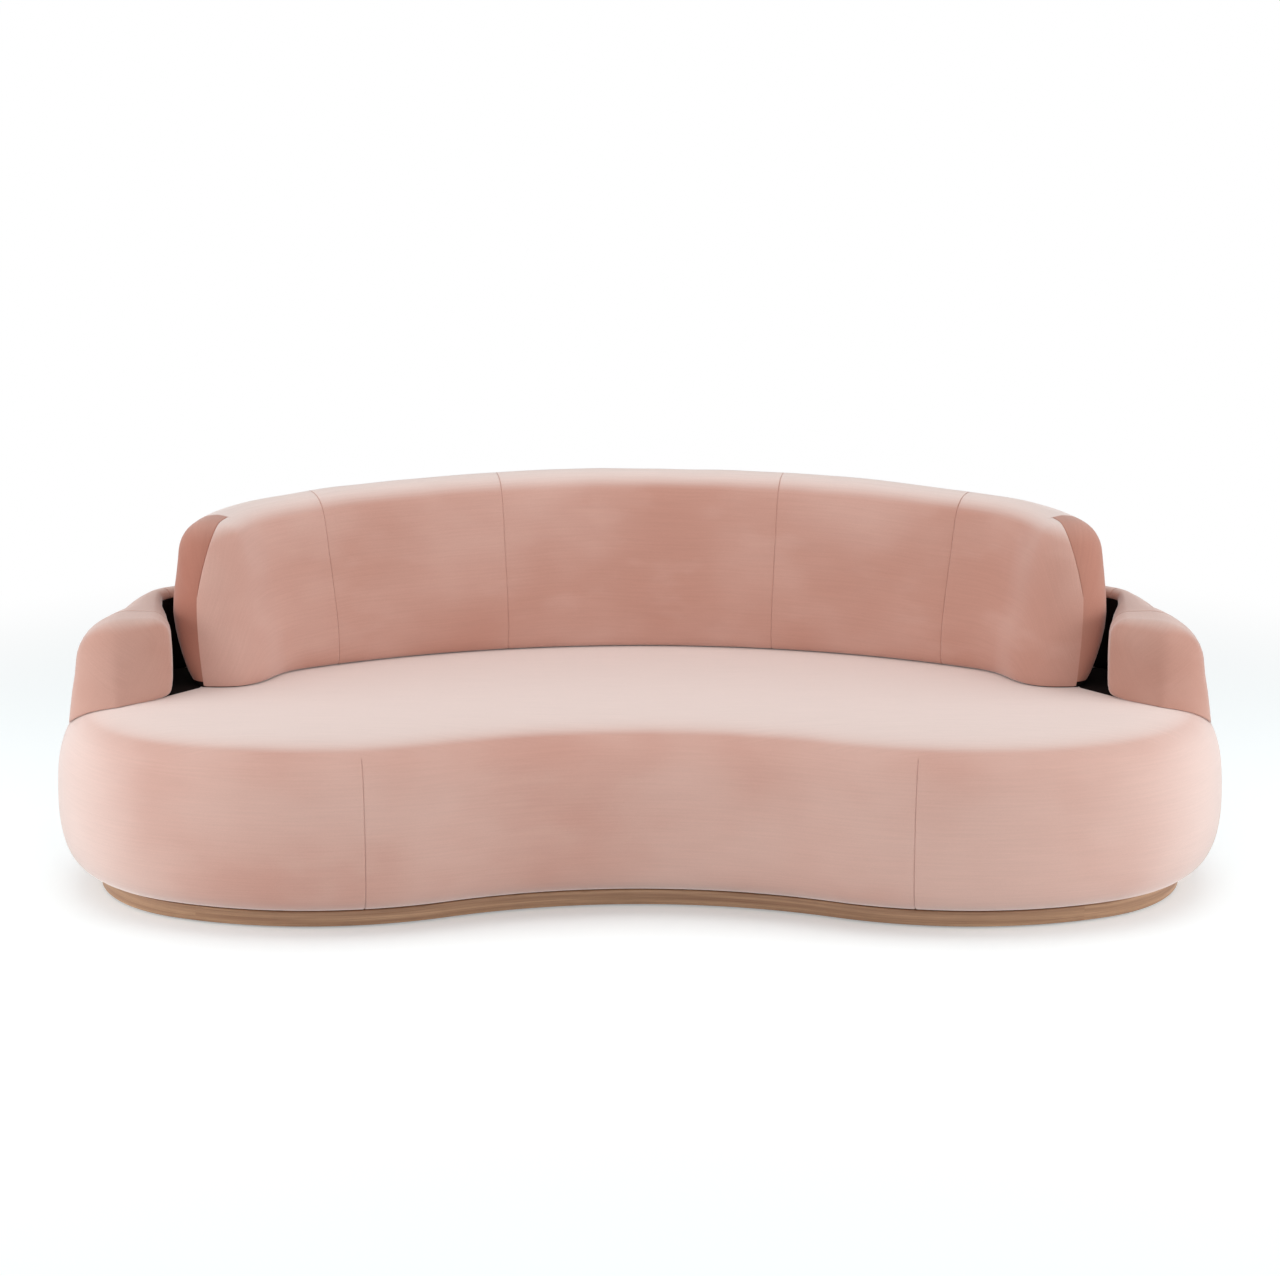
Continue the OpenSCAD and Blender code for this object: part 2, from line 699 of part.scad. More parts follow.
// The space that the wooden frame of the arm takes, with clearance c:
// a tongue as wide as the rails of the shell, then a block nearly as wide as the arm
module arm_frame_space(z0, z1, c) {
    tongue = [for (a = concat(c > 0 ? [arm_back_a + arm_swell_a] : [], [arm_back_a])) side_at(a)];
    block = [for (a = [arm_turn(c), arm_mid_a, -arm_front_a + arm_turn(arm_frame_margin - c)]) side_at(a)];
    translate([0, 0, z0 - c])
        linear_extrude(z1 - z0 + 2 * c)
            polygon(concat(
                [for (s = concat(tongue, block)) inward(s, shell_mid - rail_w / 2 - c)],
                [for (s = flip(block)) inward(s, arm_x - arm_frame_margin + c)],
                [for (s = concat([block[0]], flip(tongue))) inward(s, shell_mid + rail_w / 2 + c)]));
}
module bolt_places(d, l)
    for (z = [shell_z0 + ply_t / 2, shell_z1 - ply_t / 2])
        at_station(side_at(arm_back_a))
            translate([shell_mid, 0, z])
                rotate([90, 0, 0])
                    cylinder(d = d, h = l, center = true);
module on_left() mirror([1, 0, 0]) children();
module bolt_holes() {
    bolt_places(bolt_d + 2 * gap, bolt_l + 2 * gap);
    on_left() bolt_places(bolt_d + 2 * gap, bolt_l + 2 * gap);
}

module arm_frame() {
    post_a = arm_turn(ply_t);
    post_l = arm_x - arm_frame_margin - shell_mid + rail_w / 2 - 2 * over;
    color(ply)
        difference() {
            union() {
                arm_frame_space(shell_z0, shell_z0 + ply_t, 0);
                arm_frame_space(shell_z1 - ply_t, shell_z1, 0);
                for (a = [-post_a, post_a - arm_front_a + arm_turn(arm_frame_margin)])
                    at_station(side_at(a))
                        translate([shell_mid - rail_w / 2 + over, -ply_t / 2, shell_z0 + over])
                            cube([post_l, ply_t, shell_z1 - shell_z0 - 2 * over]);
            }
            bolt_holes();
        }
}
module arm_foam()
    color(foam_colour)
        difference() {
            loft(arm_rings(skin + gap));
            arm_frame_space(shell_z0, shell_z1, gap);
        }
module arm_cover()
    color(velvet)
        difference() {
            loft(arm_rings(0));
            loft(arm_rings(skin));
            arm_frame_space(shell_z0, shell_z1, gap);
        }
module arm_right_frame() arm_frame();
module arm_right_foam() arm_foam();
module arm_right_cover() arm_cover();
module arm_left_frame() on_left() arm_frame();
module arm_left_foam() on_left() arm_foam();
module arm_left_cover() on_left() arm_cover();
module arm_bolts()
    color(steel) {
        bolt_places(bolt_d, bolt_l);
        on_left() bolt_places(bolt_d, bolt_l);
    }

// Back cushion

pad_r = rear_r - shell_inset - shell_t - pad_gap;
pad_x = sofa_w / 2 - pad_end_inset - pad_side_r;
pad_y = rear_y + sqrt(pow(pad_r - pad_side_r, 2) - pad_x * pad_x);
pad_turn_a = atan2(pad_y - rear_y, pad_x);
pad_z0 = seat_h + gap;
seam_in_a = 90 - asin(pad_seam_in / (pad_r - pad_t));
seam_out_a = 90 - asin((pad_x + pad_side_r - pad_seam_end) / (pad_r - pad_t));
pad_centre = [0, rear_y];
pad_mid = arc(pad_centre, pad_r, 90, seam_in_a, 3);
pad_next = arc(pad_centre, pad_r, seam_in_a, seam_out_a, 4);
pad_last = concat(arc(pad_centre, pad_r, seam_out_a, pad_turn_a, 1),
    tail(arc([pad_x, pad_y], pad_side_r, pad_turn_a, pad_end_a, 4)));
pad_half = concat(pad_mid, tail(pad_next), tail(pad_last));
pad_studs = [for (i = [1, 3, 5]) pad_half[i]];

function crest(s) = sofa_h - crest_drop * pow(s[0] / (pad_x + pad_side_r), 2);
// How far the base is drawn in at a station: nothing along the middle, all of it at the ends
function tuck_at(s) = pad_tuck * turned(s, pad_turn_a, pad_end_a);
// Shares of the cushion's height at which its front face is fullest, its front face bends back
// and its rear face begins to draw in; share of its lean at that bend; share of the tuck left at its top
full_at = 0.16;
bend_at = 0.48;
rear_at = 0.45;
bend_lean = 0.4;
top_tuck = 0.6;
// How far the front and the rear edge of the base are rounded in
base_front_in = 14;
base_rear_in = 12;
// Section of the cushion: depth from the rear face and height, all of it drawn in by d.
// k narrows it about its middle.
function pad_section(top, d, tucked, k = 1) =
    let (
        r = pad_top_r - d,
        w = pad_t - d,
        shift = top_tuck * tucked,
        w1 = w - pad_lean + shift,
        z0 = pad_z0 + d,
        h = top - pad_z0,
        m = pad_t / 2,
        rough = concat(
            [for (a = [180:-45:90]) [d + r + r * cos(a) + shift, top - d - r + r * sin(a)]],
            [for (a = [90:-45:0]) [w1 - r + r * cos(a), top - d - r + r * sin(a)]],
            [[w - bend_lean * pad_lean, pad_z0 + bend_at * h], [w, pad_z0 + full_at * h],
                [w - base_front_in, z0], [d + base_rear_in + tucked, z0], [d, pad_z0 + rear_at * h]])
    )
    [for (q = rough) [m + (q[0] - m) * k, q[1]]];
function pad_ring(s, d) = stand(s, pad_section(crest(s), d, tuck_at(s)));

// Rings of the round nose at the right end
nose_steps = [30, 55, 80];
function nose_rings(d) =
    let (s = pad_half[len(pad_half) - 1], t = [s[3], -s[2]])
    [for (h = nose_steps)
        let (e = (pad_nose - d) * sin(h))
        stand([s[0] + e * t[0], s[1] + e * t[1], s[2], s[3]],
            pad_section(crest(s) - nose_drop * (1 - cos(h)), d, pad_tuck, cos(h)))];
function other_side(rings) = [for (r = flip(rings)) [for (p = r) [-p[0], p[1], p[2]]]];
function pad_rings(d) = concat(other_side(nose_rings(d)),
    [for (s = both(pad_half)) pad_ring(s, d)], nose_rings(d));

// Frame of the cushion: two bent rails and posts, with straps across its front.
// A strap takes the middle part of the stretch between two stations.
strap_part = [0.28, 0.72];
pad_rail0 = pad_rail_in;
pad_rail1 = pad_rail_in + pad_rail_w;
pad_rail_z0 = pad_z0 + skin + gap + pad_rail_rest;
pad_rail_z1 = sofa_h - pad_rail_drop;
pad_frame_row = both(concat(pad_mid, tail(pad_next), [pad_last[1], pad_last[2]]));
module back_bottom_rail()
    color(ply)
        difference() {
            band(pad_frame_row, pad_rail0, pad_rail1, pad_rail_z0, pad_rail_z0 + ply_t);
            stud_holes(pad_rail_z0 + ply_t);
        }
module back_top_rail()
    color(ply)
        band(pad_frame_row, pad_rail0, pad_rail1, pad_rail_z1 - ply_t, pad_rail_z1);
module back_posts()
    color(ply)
        intersection() {
            band(pad_frame_row, pad_rail0 + gap, pad_rail1 - gap, pad_rail_z0 + ply_t, pad_rail_z1 - ply_t);
            for (s = every(pad_frame_row, 1, 2))
                at_station(s)
                    translate([0, -post_w / 2, 0])
                        cube([2 * pad_rail1, post_w, sofa_h]);
        }
function between(p, q, f) = [for (i = [0:1]) p[i] + (q[i] - p[i]) * f];
module back_straps() {
    d = [pad_rail1, pad_rail1 + strap_t];
    color(cloth)
        for (i = [0:len(pad_frame_row) - 2])
            translate([0, 0, pad_rail_z0])
                linear_extrude(pad_rail_z1 - pad_rail_z0)
                    let (s = pad_frame_row[i], t = pad_frame_row[i + 1])
                    polygon([for (q = [[0, 0], [0, 1], [1, 1], [1, 0]])
                        between(inward(s, d[q[0]]), inward(t, d[q[0]]), strap_part[q[1]])]);
}

// Studs that hold the cushion down to the top ring of the seat
stud_top = pad_rail_z0 + ply_t + nut_h + stud_over;
stud_stations = concat(pad_studs, mirrored(pad_studs));
module stud_places()
    for (s = stud_stations)
        at_station(s)
            translate([(pad_rail0 + pad_rail1) / 2, 0, 0])
                children();
module back_studs()
    color(steel)
        stud_places() {
            translate([0, 0, ring_z])
                cylinder(d = stud_d, h = stud_top - ring_z);
            translate([0, 0, pad_rail_z0 + ply_t])
                cylinder(d = nut_d, h = nut_h, $fn = 6);
        }
module stud_holes(top)
    stud_places()
        translate([0, 0, ring_z - over])
            cylinder(d = stud_d + 2 * gap, h = top - ring_z + 2 * over);

module back_foam() {
    c = gap;
    color(foam_colour)
        difference() {
            loft(pad_rings(skin + gap));
            band(pad_frame_row, pad_rail0 - c, pad_rail1 + strap_t + c, pad_rail_z0 - c, pad_rail_z1 + c);
            stud_holes(pad_rail_z0);
        }
}
module pad_panel(row, first, last)
    color(velvet)
        loft([for (s = row)
            let (face = pad_section(crest(s), 0, tuck_at(s)), back = pad_section(crest(s), skin, tuck_at(s)),
                n = len(face))
            stand(s, concat([for (i = [first:last]) face[i % n]], [for (i = [last:-1:first]) back[i % n]]))]);
module back_cover_centre() pad_panel(both(pad_mid), 0, 8);
module back_cover_right() pad_panel(pad_next, 0, 8);
module back_cover_left() pad_panel(mirrored(pad_next), 0, 8);
module back_cover_end_right() pad_panel(pad_last, 0, 8);
module back_cover_end_left() pad_panel(mirrored(pad_last), 0, 8);
module back_cover_rear()
    color(velvet_dark)
        difference() {
            pad_panel(both(pad_half), 8, 11);
            stud_holes(pad_rail_z0);
        }
module gusset() {
    s = pad_half[len(pad_half) - 1];
    start = [s[0] - over * s[3], s[1] + over * s[2], s[2], s[3]];
    color(velvet_dark)
        difference() {
            loft(concat([pad_ring(s, 0)], nose_rings(0)));
            loft(concat([stand(start, pad_section(crest(s), skin, pad_tuck))], [pad_ring(s, skin)],
                nose_rings(skin)));
        }
}
module back_gusset_right() gusset();
module back_gusset_left() on_left() gusset();

glides();
plinth_front();
plinth_left();
plinth_right();
plinth_rear();
plinth_cross_boards();
plinth_blocks();
base_deck();
seat_ribs();
seat_posts();
seat_top_ring();
facing_front();
facing_left();
facing_right();
facing_rear();
seat_straps_cross();
seat_straps_long();
seat_felt();
seat_foam();
seat_border_foam();
seat_cover_top();
seat_cover_front();
seat_cover_left();
seat_cover_right();
seat_cover_rear();
shell_bottom_rail();
shell_top_rail();
shell_posts();
shell_outer_board();
shell_inner_board();
shell_brackets();
shell_padding();
shell_cover_outer();
shell_cover_inner();
arm_left_frame();
arm_left_foam();
arm_left_cover();
arm_right_frame();
arm_right_foam();
arm_right_cover();
arm_bolts();
back_bottom_rail();
back_top_rail();
back_posts();
back_straps();
back_studs();
back_foam();
back_cover_centre();
back_cover_left();
back_cover_right();
back_cover_end_left();
back_cover_end_right();
back_gusset_left();
back_gusset_right();
back_cover_rear();
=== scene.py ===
import math

import bmesh
import bpy
import numpy as np
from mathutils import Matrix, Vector, noise
from mathutils.geometry import delaunay_2d_cdt


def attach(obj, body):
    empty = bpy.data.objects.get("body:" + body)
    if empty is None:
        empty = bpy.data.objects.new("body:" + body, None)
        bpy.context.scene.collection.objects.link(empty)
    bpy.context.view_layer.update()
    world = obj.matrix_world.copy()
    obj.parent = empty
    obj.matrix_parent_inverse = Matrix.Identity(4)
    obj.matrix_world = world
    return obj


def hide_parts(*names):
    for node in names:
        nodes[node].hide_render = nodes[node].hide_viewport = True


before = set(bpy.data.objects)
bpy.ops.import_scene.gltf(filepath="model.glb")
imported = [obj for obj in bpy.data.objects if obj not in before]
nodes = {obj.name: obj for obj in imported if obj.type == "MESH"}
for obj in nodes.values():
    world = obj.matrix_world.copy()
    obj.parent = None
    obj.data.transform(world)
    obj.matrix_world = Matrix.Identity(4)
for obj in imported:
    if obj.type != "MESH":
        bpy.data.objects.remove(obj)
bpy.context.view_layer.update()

# Sizes in metres and angles in degrees. Those that are also in the part's source bear its names
SOFA_W, SOFA_D, SOFA_H = 2.44, 1.135, 0.78
SEAT_H, RIM_H = 0.4, 0.568
SIDE_R, LOBE_R, LOBE_REACH, WAIST_D = 0.4, 0.78, 0.032, 0.137
GLIDE_H, PLINTH_H, PLINTH_T, PLINTH_INSET = 0.004, 0.032, 0.018, 0.082
PLINTH_JOINT_X, PLINTH_REAR_JOINT_X = 0.893, 0.7
WIDE_H, BORDER_SEAM_X = 0.185, 0.547
DECK_TOP, FELT_TOP = 0.054, 0.3243
SHELL_INSET, SHELL_T, SHELL_LEAN, LEAN_FULL_A, TAPER_A = 0.028, 0.076, 0.046, 22.0, 45.0
ARM_T, ARM_FRONT_A, ARM_OUTER_A, ARM_BACK_A, ARM_SWELL_A = 0.215, 24.0, 14.0, 6.0, 3.0
ARM_NOSE, ARM_NOSE_DROP, ARM_LEAN, ARM_BULGE = 0.062, 0.072, 0.032, 0.004
PAD_T, PAD_LEAN, PAD_TOP_R, PAD_TUCK = 0.21, 0.058, 0.072, 0.026
PAD_END_INSET, PAD_SIDE_R, PAD_END_A, PAD_NOSE = 0.227, 0.357, 10.0, 0.096
PAD_SEAM_IN, PAD_SEAM_OUT, PAD_GAP = 0.29, 0.65, 0.005
CREST_DROP, NOSE_DROP = 0.03, 0.15
PAD_Z0 = 0.4003

# Rolls along the top of the shell and of an arm: width and height of the outer one, radius of the inner one
RIM_ROLL = (0.046, 0.12, 0.02)
ARM_ROLL = (0.092, 0.085, 0.04)

# How finely the forms are made: spacing along the outline, half the width of a seam, the rows of points on
# each side of it as shares of that, and how much of the way to the next row a seam may take
STEP = 0.016
SEAM_R = 0.0022
SEAM_ROWS = (1, 0.5, 0.134)
SEAM_ROOM = 0.9

# Unevenness of the cloth: size of its swellings, and how far they lie inwards as a share of their height
RIPPLE_SIZE, RIPPLE_INWARD = 0.22, 0.6
SEED_SHIFT = (7.3, -3.1, 1.7)
# What keeps two surfaces apart that would else share a plane
HAIR = 0.0002

# Profile of the seat from its underside to its flat top: inset from the outline, and height
SEAT_EDGE = 0.047
SEAT_PROFILE = [
    (0.0957, FELT_TOP + 0.001), (0.0957, DECK_TOP + 0.001), (0.0937, DECK_TOP - 0.001), (0.0937, 0.0365),
    (0.0900, 0.0368), (0.0720, 0.0420), (0.0480, 0.0530), (0.0260, 0.0730), (0.0100, 0.1050),
    (0.0020, 0.1450), (0.0, WIDE_H), (0.0015, 0.2350), (0.0060, 0.2800), (0.0150, 0.3150), (0.0240, 0.3360),
    (0.0345, 0.3520), (SEAT_EDGE, 0.3640), (0.0660, 0.3765), (0.0920, 0.3863), (0.1240, 0.3932),
    (0.1650, 0.3974), (0.2200, 0.3994)]
# Its first points are corners, and a curve of some steps to each stretch runs through the rest
SEAT_CORNERS, SEAT_STEPS = 4, 3
# The points at its widest place and at its edge
SEAT_WIDEST, SEAT_ROUNDED = 10, 16


def turn(a):
    """Cosine and sine of an angle."""
    return math.cos(math.radians(a)), math.sin(math.radians(a))


def angle(y, x):
    """Angle of a direction."""
    return math.degrees(math.atan2(y, x))


def quarter(a, n):
    """Turns along a quarter of a circle, clockwise from an angle in n steps."""
    return [turn(a - 90 * i / n) for i in range(n + 1)]


def clamped(share):
    """A share kept between 0 and 1."""
    return min(1.0, max(0.0, share))


def fade(values, start, width):
    """0 up to start, 1 past start + width and a straight line between. It falls where width is negative."""
    return np.clip((values - start) / width, 0, 1)


# Centres of the arcs, each of which meets the next smoothly
side_x = SOFA_W / 2 - SIDE_R
side_y = -SOFA_D / 2 + SIDE_R + LOBE_REACH
rear_span = SOFA_D / 2 - side_y
rear_r = (side_x ** 2 + rear_span ** 2 - SIDE_R ** 2) / (2 * (rear_span - SIDE_R))
rear_y = SOFA_D / 2 - rear_r
lobe_x = side_x - math.sqrt(LOBE_REACH * (2 * (LOBE_R - SIDE_R) - LOBE_REACH))
lobe_y = -SOFA_D / 2 + LOBE_R
waist_r = (lobe_x ** 2 + WAIST_D ** 2) / (2 * WAIST_D) - LOBE_R
waist_y = -SOFA_D / 2 + WAIST_D - waist_r
rear_end_a = angle(side_y - rear_y, side_x)
lobe_start_a = angle(side_y - lobe_y, side_x - lobe_x)
lobe_end_a = angle(waist_y - lobe_y, -lobe_x)
waist_start_a = angle(lobe_y - waist_y, lobe_x)
border_seam_a = -math.degrees(math.acos((BORDER_SEAM_X - lobe_x) / (LOBE_R - SEAT_EDGE)))


def arc(c, r, a0, a1, s=1):
    """Stations along an arc, each a place and an outward normal. s is -1 for a hollow arc."""
    n = max(2, math.ceil(math.radians(abs(a1 - a0)) * r / STEP))
    turns = [turn(a0 + (a1 - a0) * i / n) for i in range(n + 1)]
    return [(c[0] + r * x, c[1] + r * y, s * x, s * y) for x, y in turns]


def mirrored(row):
    """The stations of the other half, in reverse."""
    return [(-x, y, -u, v) for x, y, u, v in reversed(row)]


def both(row):
    """A row that starts in the middle, led up to by its other half."""
    return mirrored(row) + row[1:]


# Stations of the right half, from the middle of the rear round to the middle of the front
side_c = (side_x, side_y)
rear_half = arc((0, rear_y), rear_r, 90, rear_end_a)
side_rear = arc(side_c, SIDE_R, rear_end_a, ARM_BACK_A)
side_rest = arc(side_c, SIDE_R, ARM_BACK_A, lobe_start_a)
lobe_outer = arc((lobe_x, lobe_y), LOBE_R, lobe_start_a, border_seam_a)
lobe_inner = arc((lobe_x, lobe_y), LOBE_R, border_seam_a, lobe_end_a)
waist_half = arc((0, waist_y), waist_r, waist_start_a, 90, -1)
right_side = side_rear + side_rest[1:] + lobe_outer[1:]
front_half = lobe_inner + waist_half[1:]
half_row = rear_half + right_side[1:] + front_half[1:]
outline = half_row + mirrored(half_row)[1:-1]
border_seams = [len(rear_half) - 1, len(rear_half) + len(right_side) - 2]
border_seams += [len(outline) - i for i in border_seams]


def smooth(points, n):
    """A curve through points, n steps to each stretch between two of them."""
    p = np.array(points, float)
    p = np.vstack([2 * p[0] - p[1], p, 2 * p[-1] - p[-2]])
    out = []
    for i in range(1, len(p) - 2):
        a, b, c, d = p[i - 1:i + 3]
        t0 = 0.0
        t1 = t0 + np.linalg.norm(b - a) ** 0.5
        t2 = t1 + np.linalg.norm(c - b) ** 0.5
        t3 = t2 + np.linalg.norm(d - c) ** 0.5
        for k in range(n):
            t = t1 + (t2 - t1) * k / n
            ab = ((t1 - t) * a + (t - t0) * b) / (t1 - t0)
            bc = ((t2 - t) * b + (t - t1) * c) / (t2 - t1)
            cd = ((t3 - t) * c + (t - t2) * d) / (t3 - t2)
            abc = ((t2 - t) * ab + (t - t0) * bc) / (t2 - t0)
            bcd = ((t3 - t) * bc + (t - t1) * cd) / (t3 - t1)
            out.append(((t2 - t) * abc + (t - t1) * bcd) / (t2 - t1))
    out.append(p[-2])
    return np.array(out)


def stand(s, section):
    """A section of insets and heights, set up at a station."""
    q = np.array(section)
    return np.stack([s[0] - q[:, 0] * s[2], s[1] - q[:, 0] * s[3], q[:, 1]], axis=1)


def seam(grid, inset, at, axis, r=SEAM_R, depth=SEAM_R, share=1.0):
    """Puts rows on both sides of one row of a grid and sinks them, so that the surface dips to a seam there.
    share says for each point of that row how deep the seam is, from 0 to 1."""
    g, d = np.moveaxis(grid, axis, 0), np.moveaxis(inset, axis, 0)
    mid, rows, dips = g[at], [], []
    for side, order in ((-1, SEAM_ROWS), (1, SEAM_ROWS[::-1])):
        to = g[(at + side) % len(g)] - mid
        far = np.linalg.norm(to, axis=-1, keepdims=True)
        room = np.minimum(1.0, SEAM_ROOM * far / r)
        to = to / np.maximum(far, 1e-9) * r * room
        deep = share * depth * room[..., 0] ** 2
        for f in order:
            rows.append(mid + to * f)
            dips.append(np.maximum(d[at], deep * (1 - math.sqrt(1 - (1 - f) ** 2))))
        if side < 0:
            rows.append(mid)
            dips.append(np.maximum(d[at], deep))
    g = np.concatenate([g[:at], np.array(rows), g[at + 1:]])
    d = np.concatenate([d[:at], np.array(dips), d[at + 1:]])
    return np.moveaxis(g, 0, axis), np.moveaxis(d, 0, axis)


def moved(i, seams):
    """Where row i is once each of the seams, as numbered before, has got its rows on both sides."""
    return i + len(SEAM_ROWS) * ((i in seams) + 2 * sum(k < i for k in seams))


def normals(grid, closed_u, closed_v):
    """Normal at each point of a grid. It points out of the form or into it, as the grid is wound."""
    def slope(g, axis, closed):
        if closed:
            return np.roll(g, -1, axis) - np.roll(g, 1, axis)
        return np.gradient(g, axis=axis)
    n = np.cross(slope(grid, 0, closed_u), slope(grid, 1, closed_v))
    return n / np.maximum(np.linalg.norm(n, axis=-1, keepdims=True), 1e-12)


def ripple(grid, nrm, amount, seed, keep):
    """Moves the surface in and out a little, as hand-drawn cloth over foam. keep is each point's share."""
    shift = [seed * k for k in SEED_SHIFT]
    places = [Vector([c / RIPPLE_SIZE + k for c, k in zip(p, shift)]) for p in grid.reshape(-1, 3)]
    w = (np.array([noise.fractal(p, 1.0, 2.0, 2) for p in places]) - RIPPLE_INWARD) * keep.reshape(-1)
    return grid + (nrm.reshape(-1, 3) * (w * amount)[:, None]).reshape(grid.shape)


def mesh_object(name, verts, faces, uvs=None, materials=(), face_material=None):
    """A smooth-shaded object with one place on the cloth or wood for each of its points."""
    mesh = bpy.data.meshes.new(name)
    mesh.from_pydata([tuple(v) for v in verts], [], faces)
    for m in materials:
        mesh.materials.append(m)
    if face_material is not None:
        mesh.polygons.foreach_set("material_index", face_material)
    if uvs is not None:
        layer = mesh.uv_layers.new(name="along")
        loops = np.zeros(len(mesh.loops), int)
        mesh.loops.foreach_get("vertex_index", loops)
        layer.data.foreach_set("uv", np.asarray(uvs, float)[loops].ravel())
    mesh.polygons.foreach_set("use_smooth", [True] * len(mesh.polygons))
    mesh.update()
    obj = bpy.data.objects.new(name, mesh)
    bpy.context.scene.collection.objects.link(obj)
    return obj


def grid_faces(nu, nv, closed_u, closed_v):
    """Quads over a grid of nu by nv points."""
    faces = []
    for i in range(nu if closed_u else nu - 1):
        for j in range(nv if closed_v else nv - 1):
            a, b = i * nv + j, i * nv + (j + 1) % nv
            c, d = ((i + 1) % nu) * nv + (j + 1) % nv, ((i + 1) % nu) * nv + j
            faces.append((a, b, c, d))
    return faces


def zipped(z):
    """Triangles that close a narrow ring of points with heights z, from its top to its foot."""
    n, top, foot = len(z), int(np.argmax(z)), int(np.argmin(z))
    a = [(top + k) % n for k in range((foot - top) % n + 1)]
    b = [(top - k) % n for k in range((top - foot) % n + 1)]
    i, j, out = 0, 0, []
    while i < len(a) - 1 or j < len(b) - 1:
        if j == len(b) - 1 or (i < len(a) - 1 and z[a[i + 1]] >= z[b[j + 1]]):
            out.append((a[i], a[i + 1], b[j]))
            i += 1
        else:
            out.append((a[i], b[j + 1], b[j]))
            j += 1
    return [f for f in out if len(set(f)) == 3]


def lengths(grid, axis):
    """Distance along one direction of a grid, for the grain and the nap."""
    step = np.linalg.norm(np.diff(grid, axis=axis), axis=-1)
    zero = np.zeros_like(np.take(step, [0], axis=axis))
    return np.concatenate([zero, np.cumsum(step, axis=axis)], axis=axis)


def round_lengths(grid):
    """Distances along a grid of closed rings and round each ring."""
    wrapped = np.concatenate([grid, grid[:, :1]], axis=1)
    return np.stack([lengths(wrapped, 0), lengths(wrapped, 1)], axis=-1)[:, :-1]


def outward(obj):
    """Turns all faces of a closed form outwards."""
    bm = bmesh.new()
    bm.from_mesh(obj.data)
    bmesh.ops.recalc_face_normals(bm, faces=bm.faces)
    bm.to_mesh(obj.data)
    bm.free()
    return obj


def inside(q, pts):
    """Whether a place lies within a closed line."""
    odd = False
    for a, b in zip(pts, pts[1:] + pts[:1]):
        if (a.y > q.y) != (b.y > q.y) and q.x < (b.x - a.x) * (q.y - a.y) / (b.y - a.y) + a.x:
            odd = not odd
    return odd


def filled(ring, spacing, z):
    """Points and triangles that fill a closed ring seen from above, the points within it at height z."""
    pts = [Vector((p[0], p[1])) for p in ring]
    n, clear = len(pts), 0.6 * spacing
    xs, ys = [p.x for p in pts], [p.y for p in pts]
    inner = []
    x = min(xs) + spacing
    while x < max(xs):
        y = min(ys) + spacing
        while y < max(ys):
            q = Vector((x, y))
            if inside(q, pts) and min((q - p).length for p in pts) > clear:
                inner.append(q)
            y += spacing
        x += spacing
    out, _, tris, *_ = delaunay_2d_cdt(pts + inner, [(i, (i + 1) % n) for i in range(n)], [], 1, 1e-6)
    return [(p.x, p.y, ring[i][2] if i < n else z) for i, p in enumerate(out)], tris


# Materials

def new_material(name):
    """A material with its node tree and its shader."""
    mat = bpy.data.materials.new(name)
    mat.use_nodes = True
    tree = mat.node_tree
    return mat, tree, tree.nodes["Principled BSDF"]


def plug(tree, socket, value):
    """Links an output to a socket, or sets a plain value on it."""
    if hasattr(value, "is_output"):
        tree.links.new(value, socket)
    else:
        socket.default_value = value


def node(tree, kind, inputs=None, **props):
    """A node with its properties set and its inputs linked or set."""
    n = tree.nodes.new(kind)
    for k, v in props.items():
        setattr(n, k, v)
    for k, v in (inputs or {}).items():
        plug(tree, n.inputs[k], v)
    return n


def colour(r, g, b):
    """Linear colour of an sRGB value of 0 to 255."""
    def lin(c):
        c /= 255
        return c / 12.92 if c <= 0.04045 else ((c + 0.055) / 1.055) ** 2.4
    return lin(r), lin(g), lin(b), 1.0


def stretched_noise(tree, vector, scale, size=1.0, detail=2.0, rough=0.5):
    """Noise, finer along an axis with a larger scale."""
    mapped = node(tree, "ShaderNodeMapping", {"Vector": vector, "Scale": scale})
    return node(tree, "ShaderNodeTexNoise", {"Vector": mapped.outputs[0], "Scale": size, "Detail": detail,
                                             "Roughness": rough}).outputs[0]


def bands(tree, vector, scale, distortion, direction):
    """Light and dark bands across a direction."""
    return node(tree, "ShaderNodeTexWave", {"Vector": vector, "Scale": scale, "Distortion": distortion},
                bands_direction=direction).outputs[1]


def blend_colours(tree, factor, a, b, mode="MIX"):
    """Colour a, blended with b by a factor."""
    n = node(tree, "ShaderNodeMix", {0: factor}, data_type="RGBA", blend_type=mode)
    plug(tree, n.inputs[6], a)
    plug(tree, n.inputs[7], b)
    return n.outputs[2]


def spread(tree, value, low, high, to_low=0.0, to_high=1.0):
    """A value from low to high, made to run softly from to_low to to_high."""
    return node(tree, "ShaderNodeMapRange", {0: value, 1: low, 2: high, 3: to_low, 4: to_high},
                interpolation_type="SMOOTHSTEP").outputs[0]


def maths(tree, operation, a, b, clamp=False):
    """Result of a calculation with two values."""
    return node(tree, "ShaderNodeMath", {0: a, 1: b}, operation=operation, use_clamp=clamp).outputs[0]


def relief(tree, bsdf, height, strength, distance):
    """Gives a material the fine relief of a pattern."""
    bump = node(tree, "ShaderNodeBump", {"Strength": strength, "Distance": distance, "Height": height})
    tree.links.new(bump.outputs[0], bsdf.inputs["Normal"])


